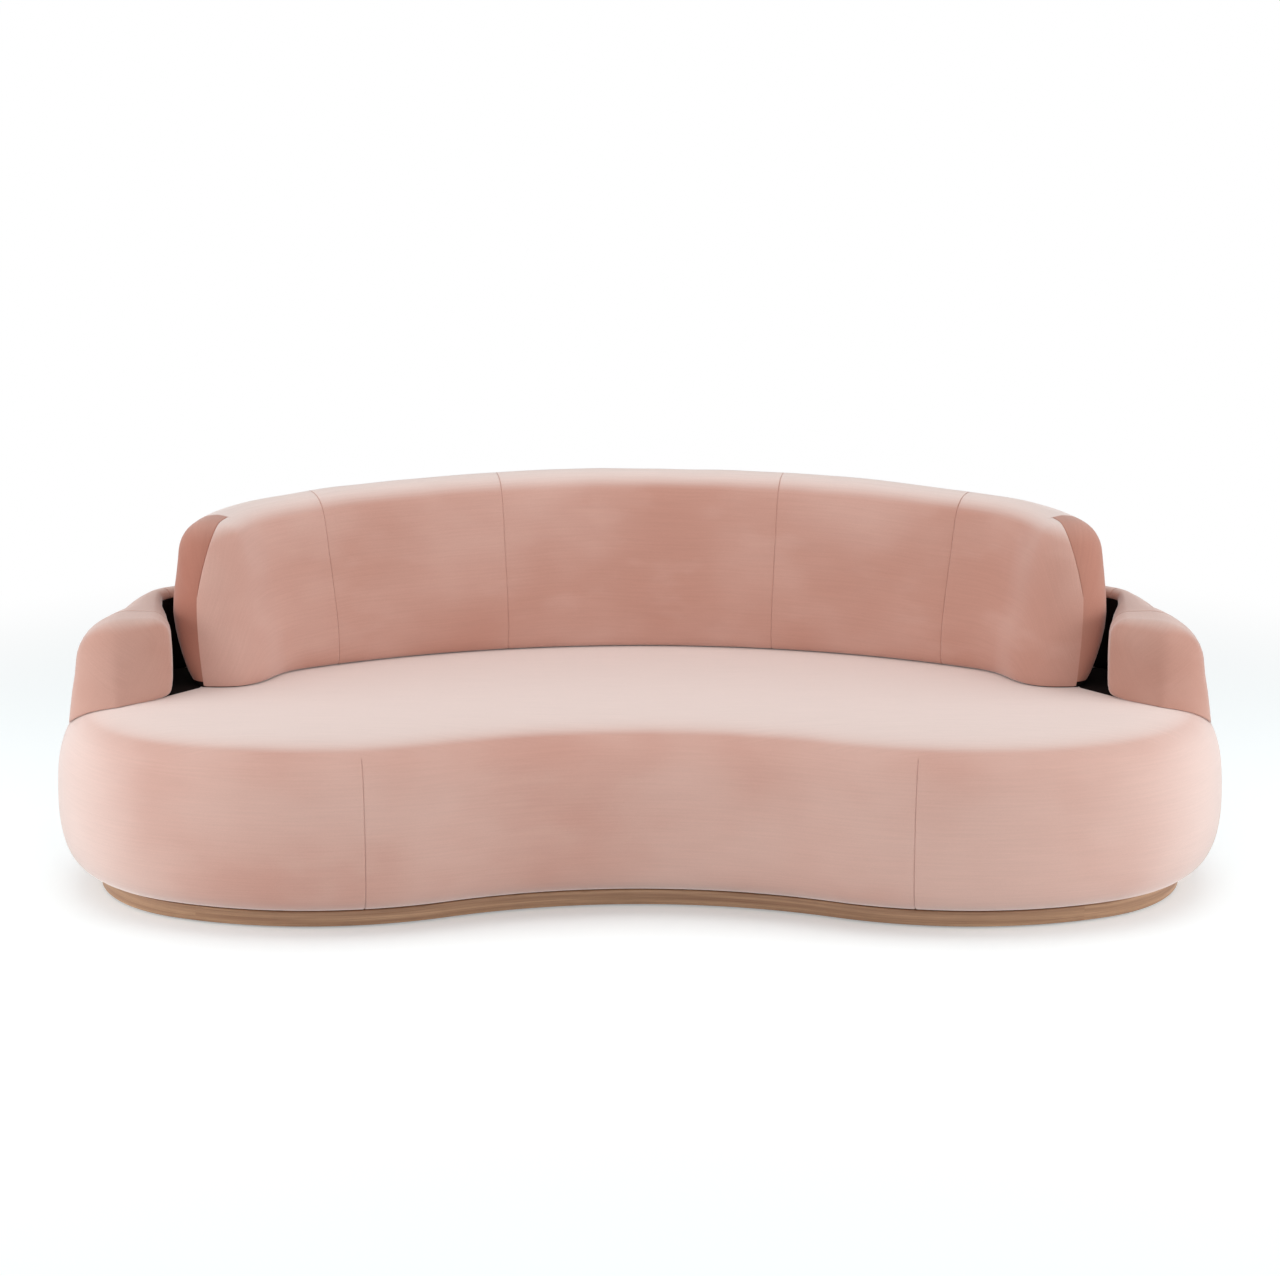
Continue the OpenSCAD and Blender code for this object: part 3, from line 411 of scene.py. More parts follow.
def velvet(name, deep, pale, painted_highlight, sheen, seed=0.0, highlight_from=0.5, sides=0.0):
    """Short-pile velvet: cloudy tone where the nap lies over, fine streaks along the cloth, a pale sheen.
    It takes the painted highlight colour where it faces up, as painted top light and sheen, and by a share
    where it faces away from the middle, as painted side sheen."""
    mat, tree, bsdf = new_material(name)
    coordinates = node(tree, "ShaderNodeTexCoord").outputs
    place, uv = coordinates["Object"], coordinates["UV"]
    shifted = node(tree, "ShaderNodeVectorMath", {0: place, 1: (seed, -seed, seed)}).outputs[0]
    clouds = stretched_noise(tree, shifted, (1.0, 1.0, 1.4), size=1.9, detail=3.0)
    brushed = stretched_noise(tree, shifted, (1.0, 1.0, 2.2), size=7.5)
    streaks = stretched_noise(tree, uv, (7.0, 230.0, 1.0), detail=3.0, rough=0.6)
    nap = stretched_noise(tree, place, (1.0, 1.0, 1.0), size=1500.0, rough=0.6)
    tone = blend_colours(tree, spread(tree, clouds, 0.3, 0.7), deep, pale)
    tone = blend_colours(tree, spread(tree, brushed, 0.5, 0.74, 0.0, 0.22), tone, pale)
    facing = node(tree, "ShaderNodeSeparateXYZ", {0: node(tree, "ShaderNodeNewGeometry").outputs["Normal"]})
    across = node(tree, "ShaderNodeSeparateXYZ", {0: place}).outputs[0]
    away = maths(tree, "MULTIPLY", facing.outputs[0], across)
    # Painted sheen: paler towards the highlight colour where the surface faces away from the middle
    tone = blend_colours(tree, spread(tree, away, 0.08, 1.0, 0.0, sides), tone, painted_highlight)
    # Painted highlight: the pale highlight colour where the surface faces up, as if lit from above
    tone = blend_colours(tree, spread(tree, facing.outputs[2], highlight_from, 1.0), tone, painted_highlight)
    grain = spread(tree, streaks, 0.3, 0.7, 0.975, 1.02)
    fine = spread(tree, nap, 0.3, 0.7, 0.93, 1.06)
    shade = maths(tree, "MULTIPLY", grain, fine)
    grey = node(tree, "ShaderNodeCombineColor", {0: shade, 1: shade, 2: shade}).outputs[0]
    tree.links.new(blend_colours(tree, 1.0, tone, grey, "MULTIPLY"), bsdf.inputs["Base Color"])
    bsdf.inputs["Roughness"].default_value = 0.92
    bsdf.inputs["Specular IOR Level"].default_value = 0.15
    bsdf.inputs["Sheen Weight"].default_value = sheen
    bsdf.inputs["Sheen Roughness"].default_value = 0.42
    bsdf.inputs["Sheen Tint"].default_value = (1.0, 0.94, 0.92, 1.0)
    relief(tree, bsdf, maths(tree, "ADD", nap, streaks), 0.25, 0.0004)
    return mat


def walnut(name):
    """Oiled walnut veneer, its grain along the bent band."""
    mat, tree, bsdf = new_material(name)
    uv = node(tree, "ShaderNodeTexCoord").outputs["UV"]
    figure = stretched_noise(tree, uv, (1.6, 42.0, 1.0), detail=4.0, rough=0.6)
    lines = stretched_noise(tree, uv, (5.0, 420.0, 1.0), detail=3.0, rough=0.65)
    pores = stretched_noise(tree, uv, (26.0, 1500.0, 1.0), detail=1.0)
    base = blend_colours(tree, spread(tree, figure, 0.32, 0.68), colour(152, 114, 88), colour(196, 158, 126))
    base = blend_colours(tree, spread(tree, lines, 0.42, 0.66, 0.0, 0.5), base, colour(126, 92, 66))
    base = blend_colours(tree, spread(tree, pores, 0.6, 0.72, 0.0, 0.45), base, colour(82, 55, 38))
    tree.links.new(base, bsdf.inputs["Base Color"])
    tree.links.new(spread(tree, lines, 0.3, 0.7, 0.42, 0.58), bsdf.inputs["Roughness"])
    bsdf.inputs["Specular IOR Level"].default_value = 0.4
    relief(tree, bsdf, pores, 0.3, 0.0003)
    return mat


def plywood(name):
    """Birch plywood: pale faces with long grain and thin darker glue lines on its edges."""
    mat, tree, bsdf = new_material(name)
    place = node(tree, "ShaderNodeTexCoord").outputs["Object"]
    grain = stretched_noise(tree, place, (2.0, 55.0, 55.0), detail=3.0, rough=0.6)
    plies = bands(tree, place, 115.0, 0.4, "Z")
    base = blend_colours(tree, spread(tree, grain, 0.3, 0.7), colour(206, 175, 128), colour(228, 204, 162))
    base = blend_colours(tree, spread(tree, plies, 0.8, 1.0, 0.0, 0.35), base, colour(150, 112, 72))
    tree.links.new(base, bsdf.inputs["Base Color"])
    bsdf.inputs["Roughness"].default_value = 0.68
    relief(tree, bsdf, grain, 0.2, 0.0003)
    return mat


def woven(name, dark, light, pitch, roughness=0.85):
    """A plain weave of two tones, for webbing and for the near-black cloth that paints shade."""
    mat, tree, bsdf = new_material(name)
    place = node(tree, "ShaderNodeTexCoord").outputs["Object"]
    weave = maths(tree, "MULTIPLY", *(bands(tree, place, pitch, 0.6, direction) for direction in "XZ"))
    tree.links.new(blend_colours(tree, weave, dark, light), bsdf.inputs["Base Color"])
    bsdf.inputs["Roughness"].default_value = roughness
    bsdf.inputs["Specular IOR Level"].default_value = 0.1
    relief(tree, bsdf, weave, 0.4, 0.0005)
    return mat


def speckled(name, dark, light, size, metallic=0.0, roughness=0.9):
    """Felt, moulded plastic or zinc-plated steel, by its colours and gloss."""
    mat, tree, bsdf = new_material(name)
    place = node(tree, "ShaderNodeTexCoord").outputs["Object"]
    spots = stretched_noise(tree, place, (1.0, 1.0, 1.0), size=size, detail=4.0, rough=0.65)
    gloss = spread(tree, spots, 0.3, 0.7, roughness - 0.08, roughness + 0.06)
    tree.links.new(blend_colours(tree, spread(tree, spots, 0.3, 0.7), dark, light), bsdf.inputs["Base Color"])
    tree.links.new(gloss, bsdf.inputs["Roughness"])
    bsdf.inputs["Metallic"].default_value = metallic
    relief(tree, bsdf, spots, 0.2, 0.0004)
    return mat


# Pale colour of the painted highlight where velvet faces up
PAINTED_TOP_HIGHLIGHT = colour(229, 209, 202)
velvet_mat = velvet("velvet", colour(192, 143, 128), colour(209, 169, 157), PAINTED_TOP_HIGHLIGHT, sheen=0.9)
# The seat's velvet is a painted lit copy: paler, with painted highlight only where it faces nearly straight
# up and painted sheen on its far ends
lit_seat_mat = velvet("velvet_seat_lit", colour(202, 154, 140), colour(214, 176, 164), PAINTED_TOP_HIGHLIGHT, sheen=0.9,
                  highlight_from=0.84, sides=0.62)
# The shell's and arms' velvet is a painted shaded copy: darker, with a weaker painted highlight and less
# sheen
shaded_wall_mat = velvet("velvet_wall_shaded", colour(182, 134, 119), colour(198, 157, 144), colour(203, 170, 159),
                  sheen=0.7)
# The end panels' velvet is a darker copy of the same cloth: painted shade
shaded_gusset_mat = velvet("velvet_shade", colour(168, 111, 95), colour(182, 130, 114), colour(190, 144, 130),
                    sheen=0.3, seed=4.0)
# Near-black cloth: painted shade in the gaps and pockets beside the back cushion, and the cushion's dark
# underside
shade_lining_mat = woven("shade_lining", colour(17, 10, 9), colour(28, 20, 17), 500.0, 0.95)
wood_mat = walnut("plinth_wood")
ply_mat = plywood("plywood")
web_mat = woven("webbing", colour(38, 36, 35), colour(62, 58, 55), 260.0)
felt_mat = speckled("felt", colour(168, 161, 150), colour(196, 190, 180), 420.0)
steel_mat = speckled("steel", colour(140, 144, 150), colour(176, 180, 186), 60.0, metallic=1.0,
                     roughness=0.36)
glide_mat = speckled("glide", colour(40, 38, 37), colour(58, 55, 53), 300.0, roughness=0.6)


def dress(obj, slot, *replaced, fill=None):
    """Hangs a piece on the root body and hides the solids that it stands for. Its slot and fill are not used.
    """
    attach(obj, "root")
    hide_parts(*replaced)


# Seat

# Width and depth of the seams down the border, unevenness of the cloth, and spacing of the points in its lids
BORDER_SEAM_R, BORDER_SEAM_DEPTH = 0.003, 0.0035
SEAT_UNEVEN, SEAT_SEED = 0.0016, 3
TOP_SPACING, FOOT_SPACING = 0.03, 0.08
# Where the unevenness fades: towards the foot, towards the flat top, and higher than this towards the rear
FOOT_FADE, TOP_FADE, REAR_FADE = (0.05, 0.06), (0.3985, -0.004), (-0.05, -0.1)
REAR_FADE_FROM = 0.35

seat_section = np.vstack([SEAT_PROFILE[:SEAT_CORNERS], smooth(SEAT_PROFILE[SEAT_CORNERS:], SEAT_STEPS)])


def seat_column(point):
    """Column of the seat's grid at a point of its profile."""
    return SEAT_CORNERS + (point - SEAT_CORNERS) * SEAT_STEPS


def seat_z(d):
    """Height of the seat's surface at an inset from the outline."""
    curve = seat_section[seat_column(SEAT_WIDEST):]
    return float(np.interp(d, curve[:, 0], curve[:, 1], right=SEAT_H))


def make_seat():
    """The seat and its border in one form, with lids of triangles at its flat top and over the felt."""
    grid = np.array([stand(s, seat_section) for s in outline])
    inset = np.zeros(grid.shape[:2])
    for i in sorted(border_seams, reverse=True):
        grid, inset = seam(grid, inset, i, 0, BORDER_SEAM_R, BORDER_SEAM_DEPTH)
    edge, widest = seat_column(SEAT_ROUNDED), seat_column(SEAT_WIDEST)
    inset[:, edge:] = 0
    inset[:, :SEAT_CORNERS] = 0
    nrm = normals(grid, True, False)
    if np.sum(nrm[:, widest, :2] * grid[:, widest, :2]) < 0:
        nrm = -nrm
    y, z = grid[..., 1], grid[..., 2]
    keep = fade(z, *FOOT_FADE) * fade(z, *TOP_FADE) * np.where(z > REAR_FADE_FROM, fade(y, *REAR_FADE), 1.0)
    keep[:, :SEAT_CORNERS + SEAT_STEPS] = 0
    grid = ripple(grid, nrm, SEAT_UNEVEN, SEAT_SEED, keep) - nrm * inset[..., None]
    nu, nv = grid.shape[:2]
    uv = np.stack([lengths(grid, 0), lengths(grid, 1)], axis=-1)
    uv[:, edge:] = grid[:, edge:, :2]
    faces = grid_faces(nu, nv, True, False)
    verts, uvs = list(grid.reshape(-1, 3)), list(uv.reshape(-1, 2))
    for column, spacing, height in ((nv - 1, TOP_SPACING, SEAT_H - HAIR), (0, FOOT_SPACING, grid[0, 0, 2])):
        pts, tris = filled(grid[:, column], spacing, height)
        number = [i * nv + column for i in range(nu)] + [len(verts) + k for k in range(len(pts) - nu)]
        verts += [np.array(p) for p in pts[nu:]]
        uvs += [p[:2] for p in pts[nu:]]
        faces += [tuple(number[i] for i in t) for t in tris]
    obj = outward(mesh_object("seat", verts, faces, uvs, [lit_seat_mat]))
    dress(obj, "velvet", "seat_cover_top", "seat_cover_front", "seat_cover_left", "seat_cover_right",
          "seat_cover_rear", "seat_foam", "seat_border_foam", fill=0.9)


def tube(name, rings, seams_u, seams_v, amount, seed, materials, keep, zone=None, extra=()):
    """A closed form through closed rings, with sunk seams and soft unevenness.
    seams_u holds rings and seams_v columns, each with None or with the columns or spans of rings that the
    seam reaches. keep gives each point's share of the unevenness, and zone the material of a face by its
    middle, ring and column. extra holds more points and faces, each lot with its material."""
    grid = np.array(rings)
    inset = np.zeros(grid.shape[:2])
    for i in sorted(seams_u, reverse=True):
        reach = seams_u[i]
        share = 1.0 if reach is None else np.array([float(j in reach) for j in range(grid.shape[1])])
        grid, inset = seam(grid, inset, i, 0, share=share)
    for j in sorted(seams_v, reverse=True):
        share = np.ones(len(grid))
        if seams_v[j] is not None:
            share[:] = 0
            for first, last in seams_v[j]:
                share[moved(first, seams_u):moved(last, seams_u) + 1] = 1
        grid, inset = seam(grid, inset, j, 1, share=share)
    nrm = normals(grid, False, True)
    if np.sum(nrm * (grid - grid.mean(axis=1, keepdims=True))) < 0:
        nrm = -nrm
    grid = ripple(grid, nrm, amount, seed, keep(grid)) - nrm * inset[..., None]
    nu, nv = grid.shape[:2]
    faces = grid_faces(nu, nv, False, True)
    verts, uvs = list(grid.reshape(-1, 3)), list(round_lengths(grid).reshape(-1, 2))
    for i in (0, nu - 1):
        faces += [tuple(i * nv + j for j in f) for f in zipped(grid[i, :, 2])]
    index = None
    if zone is not None:
        index = [zone(np.mean([verts[k] for k in f], axis=0), *divmod(f[0], nv)) for f in faces]
    for more, sides, slot in extra:
        base = len(verts)
        verts += [np.array(v) for v in more]
        uvs += [v[:2] for v in more]
        faces += [tuple(base + k for k in f) for f in sides]
        index += [slot] * len(sides)
    return outward(mesh_object(name, verts, faces, uvs, materials, index))


# Shell and arms

WALL_UNEVEN, WALL_SEED, WALL_FADE = 0.0025, 5, (0.405, 0.04)
# Steps of the two rolls of a section, least flat between them, and how far the foot stands over the seat
OUTER_STEPS, INNER_STEPS, ROLL_GAP, FOOT_GAP = 10, 6, 0.004, 0.0006
# Where the inner face curls in to its foot: inset and height over it, in full from this thickness on
FOOT_CURL, FULL_CURL = ((0.0012, 0.012), (0.0045, 0.005), (0.009, 0.0015)), 0.05
# How far the flat of the foot stays inside both faces, and its points
FOOT_INNER, FOOT_OUTER, FOOT_POINTS = 0.014, 0.0005, 12
# Columns of the section between which the shell's inner face is near-black cloth, painted shade in the gap
# beside the back cushion, and the angle from which it is
SEAM_COLUMN, FOOT_COLUMN, SHADE_FROM_A = 17, 25, 22
# Material slot of that near-black cloth of painted shade
SHADE_SLOT = 1
# Near-black sheet over the seat in a pocket, painted shade: its points along and across, where it begins, how
# far it reaches under the wall and under the cushion, how far its front corner is drawn forward, over which
# share of its length, and how much aside, and its height over the seat, which is taken no nearer to the
# outline than at the last inset
POCKET_ALONG, POCKET_ACROSS, POCKET_A = 22, 7, -17
UNDER_WALL, UNDER_PAD = 0.024, 0.075
CORNER_FORWARD, CORNER_SHARE, CORNER_ASIDE = 0.075, 0.3, 0.17
SHADE_SHEET_GAP, SHADE_SHEET_INSET = 0.0005, 0.09
# Turns of an arm's nose, closer together towards its tip, the powers that make it blunter than a half round,
# and the number of rings up to it
ARM_TURNS = list(np.linspace(0, 60, 10)) + [66, 72, 77, 81, 84, 86, 88, 89]
ARM_NARROWS, ARM_REACHES = 0.72, 0.85
ARM_RINGS = 16
# By which share of its front's angle an arm is turned, at shares of its thickness from outside to inside
ARM_SKEW = (0, 0.45, 1), (ARM_OUTER_A / ARM_FRONT_A, 0.95, 1)


def above_seat(grid):
    """Share of the unevenness that each point of a wall gets: none at the foot."""
    return fade(grid[..., 2], *WALL_FADE)


def side_at(a):
    """Station of the outline's side at an angle."""
    x, y = turn(a)
    return side_x + SIDE_R * x, side_y + SIDE_R * y, x, y


def wall_section(a0, a1, top, roll, lean, bulge=0.0):
    """Section of the shell or an arm from inset a0 to a1: outer roll, inner roll, and a foot on the seat.
    lean says how far the top of the outer and of the inner face leans in."""
    w = min(roll[0], a1 - a0 - roll[2] - ROLL_GAP - lean[0] + lean[1])
    h, r = roll[1], roll[2]
    under, low = seat_z(a0), seat_z(a1) + FOOT_GAP
    f = min(1.0, (a1 - a0) / FULL_CURL)
    outer = [(a0 + w + w * x, top - h + h * y) for x, y in quarter(180, OUTER_STEPS)]
    inner = [(a1 - r + r * x, top - r + r * y) for x, y in quarter(90, INNER_STEPS)]
    inner += [(a1, low + (top - r - low) * k) for k in (0.8, 0.6, 0.4, 0.22)]
    inner += [(a1 - x * f, low + z) for x, z in FOOT_CURL]
    inner = [(x + bulge * math.sin(math.pi * clamped((z - low) / (top - low))), z) for x, z in inner]
    flat = np.linspace(a1 - FOOT_INNER * f, a0 + FOOT_OUTER * f, FOOT_POINTS)
    foot = [(x, seat_z(x) + FOOT_GAP) for x in flat]
    rise = [(a0, under + (top - h - under) * k) for k in (0.06, 0.25, 0.5, 0.75)]

    def leaning(points, by, base):
        return [(x + by * max(0.0, z - base) / (top - base), z) for x, z in points]
    outer, rise = leaning(outer, lean[0], under), leaning(rise, lean[0], under)
    return outer + leaning(inner, lean[1], SEAT_H) + foot + rise


def turned(a, a0, a1):
    """Share of the way from angle a0 down to a1."""
    return clamped((a0 - a) / (a0 - a1))


def lean_at(a):
    """How far the outer face leans in: nothing along the rear, most just behind the arms."""
    eased_off = (SHELL_LEAN - ARM_LEAN) * turned(a, LEAN_FULL_A, 0)
    return SHELL_LEAN * turned(a, rear_end_a, LEAN_FULL_A) - eased_off


def swell_at(a):
    """Share of the growth from the thickness of the shell to that of an arm."""
    return turn(90 - 90 * turned(a, TAPER_A, -ARM_SWELL_A))[0]


def grown_section(a):
    """Section of the wall at an angle, on its way from the shell's to an arm's."""
    u, lean = swell_at(a), lean_at(a)
    roll = [p + (q - p) * u for p, q in zip(RIM_ROLL, ARM_ROLL)]
    return wall_section(SHELL_INSET, SHELL_INSET + SHELL_T + (ARM_T - SHELL_T) * u, RIM_H, roll,
                        (lean, lean * (1 - u)), ARM_BULGE * u)


def pocket_shade(side):
    """Painted shade: a near-black sheet over the seat in the pocket between the shell, an arm and the end of
    the back cushion.
    """
    far, near, verts = [], [], []
    for a in np.linspace(POCKET_A, rear_end_a, POCKET_ALONG):
        x, y, u, v = side_at(a)
        d = SHELL_INSET + SHELL_T - UNDER_WALL + (ARM_T - SHELL_T) * swell_at(a)
        far.append((x - d * u, y - d * v))
    for f in np.linspace(0, 1, POCKET_ALONG):
        x, y = turn(PAD_END_A + (pad_turn_a - PAD_END_A) * f)
        forward = CORNER_FORWARD * max(0.0, 1 - f / CORNER_SHARE)
        r = PAD_SIDE_R - UNDER_PAD
        near.append((pad_x + r * x + forward * CORNER_ASIDE, pad_y + r * y - forward))
    last = POCKET_ACROSS - 1
    for (fx, fy), (nx, ny) in zip(far, near):
        for k in range(POCKET_ACROSS):
            x, y = fx + (nx - fx) * k / last, fy + (ny - fy) * k / last
            d = SIDE_R - math.hypot(x - side_x, y - side_y)
            z = min(seat_z(max(d, SHADE_SHEET_INSET)) + SHADE_SHEET_GAP, PAD_Z0 - HAIR)
            verts.append((side * x, y, z))
    return verts, grid_faces(POCKET_ALONG, POCKET_ACROSS, False, False), SHADE_SLOT


def make_shell():
    """The low wall round the rear, up to the arms, and the near-black sheets of painted shade in both
    pockets.
    """
    row = both(rear_half + side_rear[1:])
    rings = [stand(s, grown_section(angle(s[3], abs(s[2])))) for s in row]
    mid, reach = len(row) // 2, len(rear_half) - 1
    seams = {SEAM_COLUMN: None}
    first, last = moved(SEAM_COLUMN, seams), moved(FOOT_COLUMN, seams)

    # Faces beside the cushion between those columns are near-black: painted shade
    def zone(p, i, j):
        beside = angle(p[1] - side_y, abs(p[0]) - side_x) > SHADE_FROM_A
        return SHADE_SLOT if beside and first <= j < last else 0
    obj = tube("shell", rings, {mid - reach: None, mid + reach: None}, seams, WALL_UNEVEN, WALL_SEED,
               [shaded_wall_mat, shade_lining_mat], above_seat, zone, [pocket_shade(-1), pocket_shade(1)])
    dress(obj, "velvet", "shell_cover_outer", "shell_cover_inner", "shell_padding", fill=0.85)


def arm_stand(a, section):
    """A section of the arm, its front part skewed so that the front faces straight ahead."""
    q = np.array(section)
    share = np.interp((q[:, 0] - SHELL_INSET) / ARM_T, *ARM_SKEW)
    turned_by = np.radians(a * share if a < 0 else np.full(len(q), a))
    r = SIDE_R - q[:, 0]
    return np.stack([side_x + r * np.cos(turned_by), side_y + r * np.sin(turned_by), q[:, 1]], axis=1)


def arm_rings():
    """Rings of the right arm, from the shell to its round front."""
    nose_turn = math.degrees(ARM_NOSE / (SIDE_R - SHELL_INSET - ARM_T / 2))
    nose_a = -ARM_FRONT_A + nose_turn
    rings = [arm_stand(a, grown_section(a)) for a in np.linspace(ARM_BACK_A, nose_a, ARM_RINGS)[:-1]]
    for h in ARM_TURNS:
        c, v = turn(h)
        k, e = c ** ARM_NARROWS, v ** ARM_REACHES
        half, drop = ARM_T / 2 * (1 - k), ARM_NOSE_DROP * (1 - c)
        rings.append(arm_stand(nose_a - nose_turn * e, wall_section(
            SHELL_INSET + half, SHELL_INSET + ARM_T - half, RIM_H - drop,
            [k * ARM_ROLL[0], ARM_ROLL[1], k * ARM_ROLL[2]], (ARM_LEAN, ARM_LEAN * (1 - k)), k * ARM_BULGE)))
    return rings


def make_arm(name, side):
    """An arm that carries on from the shell; side is -1 for the left one and 1 for the right one."""
    rings = [r * np.array([side, 1, 1]) for r in arm_rings()]
    obj = tube("arm_" + name, rings, {}, {}, WALL_UNEVEN, WALL_SEED, [shaded_wall_mat], above_seat)
    dress(obj, "velvet", f"arm_{name}_cover", f"arm_{name}_foam", fill=0.85)


# Back cushion

# Columns of its section: the seams along the top of the rear and of each end, and both edges of the flat base
REAR_SEAM, END_SEAM, SOLE_START, SOLE_END = 1, 17, 42, 51
# Corners in each of its two upper rounds, and steps of the curve to each stretch of the section
PAD_ROUND, PAD_STEPS = 4, 3
# The end panel begins at this angle; the nose closes along a line at this share of the thickness
GUSSET_A, NOSE_LINE = 20.0, 0.4
# Turns of the nose, its least width as a share, and how high, by which share and by which power its foot is
# drawn in
PAD_TURNS = list(np.linspace(6, 54, 9)) + [60, 66, 72, 77, 81, 84, 87, 89]
NOSE_LEAST, NOSE_LOW, NOSE_DRAWN, NOSE_POWER = 0.03, 0.17, 0.3, 1.6
# The cushion is evened out this many times, between so many rings before and past its last station
EASE_TIMES, EASE_BEFORE, EASE_PAST = 40, 11, 9
# The rear is eased by this share of what the front and the base are, with this change in columns between
EASE_REAR, EASE_FADE = 0.3, (-3, 8)
PAD_UNEVEN, PAD_SEED, PAD_FADE = 0.003, 23, (0.402, 0.05)

# Stations of its rear face, from the middle to where its right nose begins
pad_r = rear_r - SHELL_INSET - SHELL_T - PAD_GAP
pad_x = SOFA_W / 2 - PAD_END_INSET - PAD_SIDE_R
pad_y = rear_y + math.sqrt((pad_r - PAD_SIDE_R) ** 2 - pad_x ** 2)
pad_turn_a = angle(pad_y - rear_y, pad_x)
seam_in_a = 90 - math.degrees(math.asin(PAD_SEAM_IN / (pad_r - PAD_T)))
seam_out_a = 90 - math.degrees(math.asin(PAD_SEAM_OUT / (pad_r - PAD_T)))
pad_mid = arc((0, rear_y), pad_r, 90, seam_in_a)
pad_next = arc((0, rear_y), pad_r, seam_in_a, seam_out_a)
pad_last = arc((0, rear_y), pad_r, seam_out_a, pad_turn_a)
pad_last += arc((pad_x, pad_y), PAD_SIDE_R, pad_turn_a, PAD_END_A)[1:]
pad_half = pad_mid + pad_next[1:] + pad_last[1:]


def crest(s):
    """Height of the cushion at a station."""
    return SOFA_H - CREST_DROP * (s[0] / (pad_x + PAD_SIDE_R)) ** 2


def tuck_at(s):
    """How far the foot of the rear face is tucked in at a station: only round the ends."""
    return PAD_TUCK * clamped((pad_turn_a - angle(s[3], abs(s[2]))) / (pad_turn_a - PAD_END_A))


def pad_section(top, tucked, k=1.0):
    """Section of the back cushion: depth from its rear face, and height. k narrows it towards a line."""
    r, h, shift = PAD_TOP_R, top - PAD_Z0, 0.6 * tucked
    w1 = PAD_T - PAD_LEAN + shift
    rough = [(shift + r + r * x, top - r + r * y) for x, y in quarter(180, PAD_ROUND)]
    rough += [(w1 - r + r * x, top - r + r * y) for x, y in quarter(90, PAD_ROUND)[:-1]]
    front = [(w1 + 0.012, top - r - 0.03), (PAD_T - 0.4 * PAD_LEAN, PAD_Z0 + 0.48 * h),
             (PAD_T - 0.004, PAD_Z0 + 0.27 * h), (PAD_T, PAD_Z0 + 0.14 * h),
             (PAD_T - 0.004, PAD_Z0 + 0.035 * h)]
    base = [(PAD_T - 0.014, PAD_Z0), (0.6 * PAD_T, PAD_Z0), (0.03 + tucked, PAD_Z0)]
    rear = [(0.013 + tucked, PAD_Z0 + 0.012), (0.003 + 0.5 * tucked, PAD_Z0 + 0.2 * h),
            (0.001, PAD_Z0 + 0.45 * h)]
    rough += front + base + rear
    q = smooth(rough + rough[:1], PAD_STEPS)[:-1]
    m = PAD_T * NOSE_LINE
    q[:, 0] = m + (q[:, 0] - m) * k
    q[:, 1] = np.maximum(q[:, 1], PAD_Z0)
    return q


def nose_rings():
    """Rings of the round end of the cushion, fullest at half its height and drawn in at its base."""
    s = pad_half[-1]
    out = []
    for h in PAD_TURNS:
        c, v = turn(h)
        q = pad_section(crest(s) - NOSE_DROP * (1 - c), PAD_TUCK, max(c, NOSE_LEAST))
        low = np.clip(1 - (q[:, 1] - PAD_Z0) / NOSE_LOW, 0, 1)
        e = PAD_NOSE * v * (1 - NOSE_DRAWN * low ** NOSE_POWER)
        ring = stand(s, q)
        ring[:, 0] += e * s[3]
        ring[:, 1] -= e * s[2]
        out.append(ring)
    return out


def eased(rings, first, last):
    """Evens out the cushion along its length between two of its rings, mostly its front and base."""
    g = np.array(rings)
    share = np.zeros(len(g))
    share[first:last] = np.sin(np.linspace(0, math.pi, last - first))
    j = np.arange(g.shape[1])
    front = fade(np.minimum(j - END_SEAM, SOLE_END - j), *EASE_FADE)
    share = share[:, None] * (EASE_REAR + (1 - EASE_REAR) * front)[None]
    for _ in range(EASE_TIMES):
        g[1:-1, :, :2] += 0.5 * share[1:-1, :, None] * ((g[:-2] + g[2:]) / 2 - g[1:-1])[..., :2]
    return list(g)


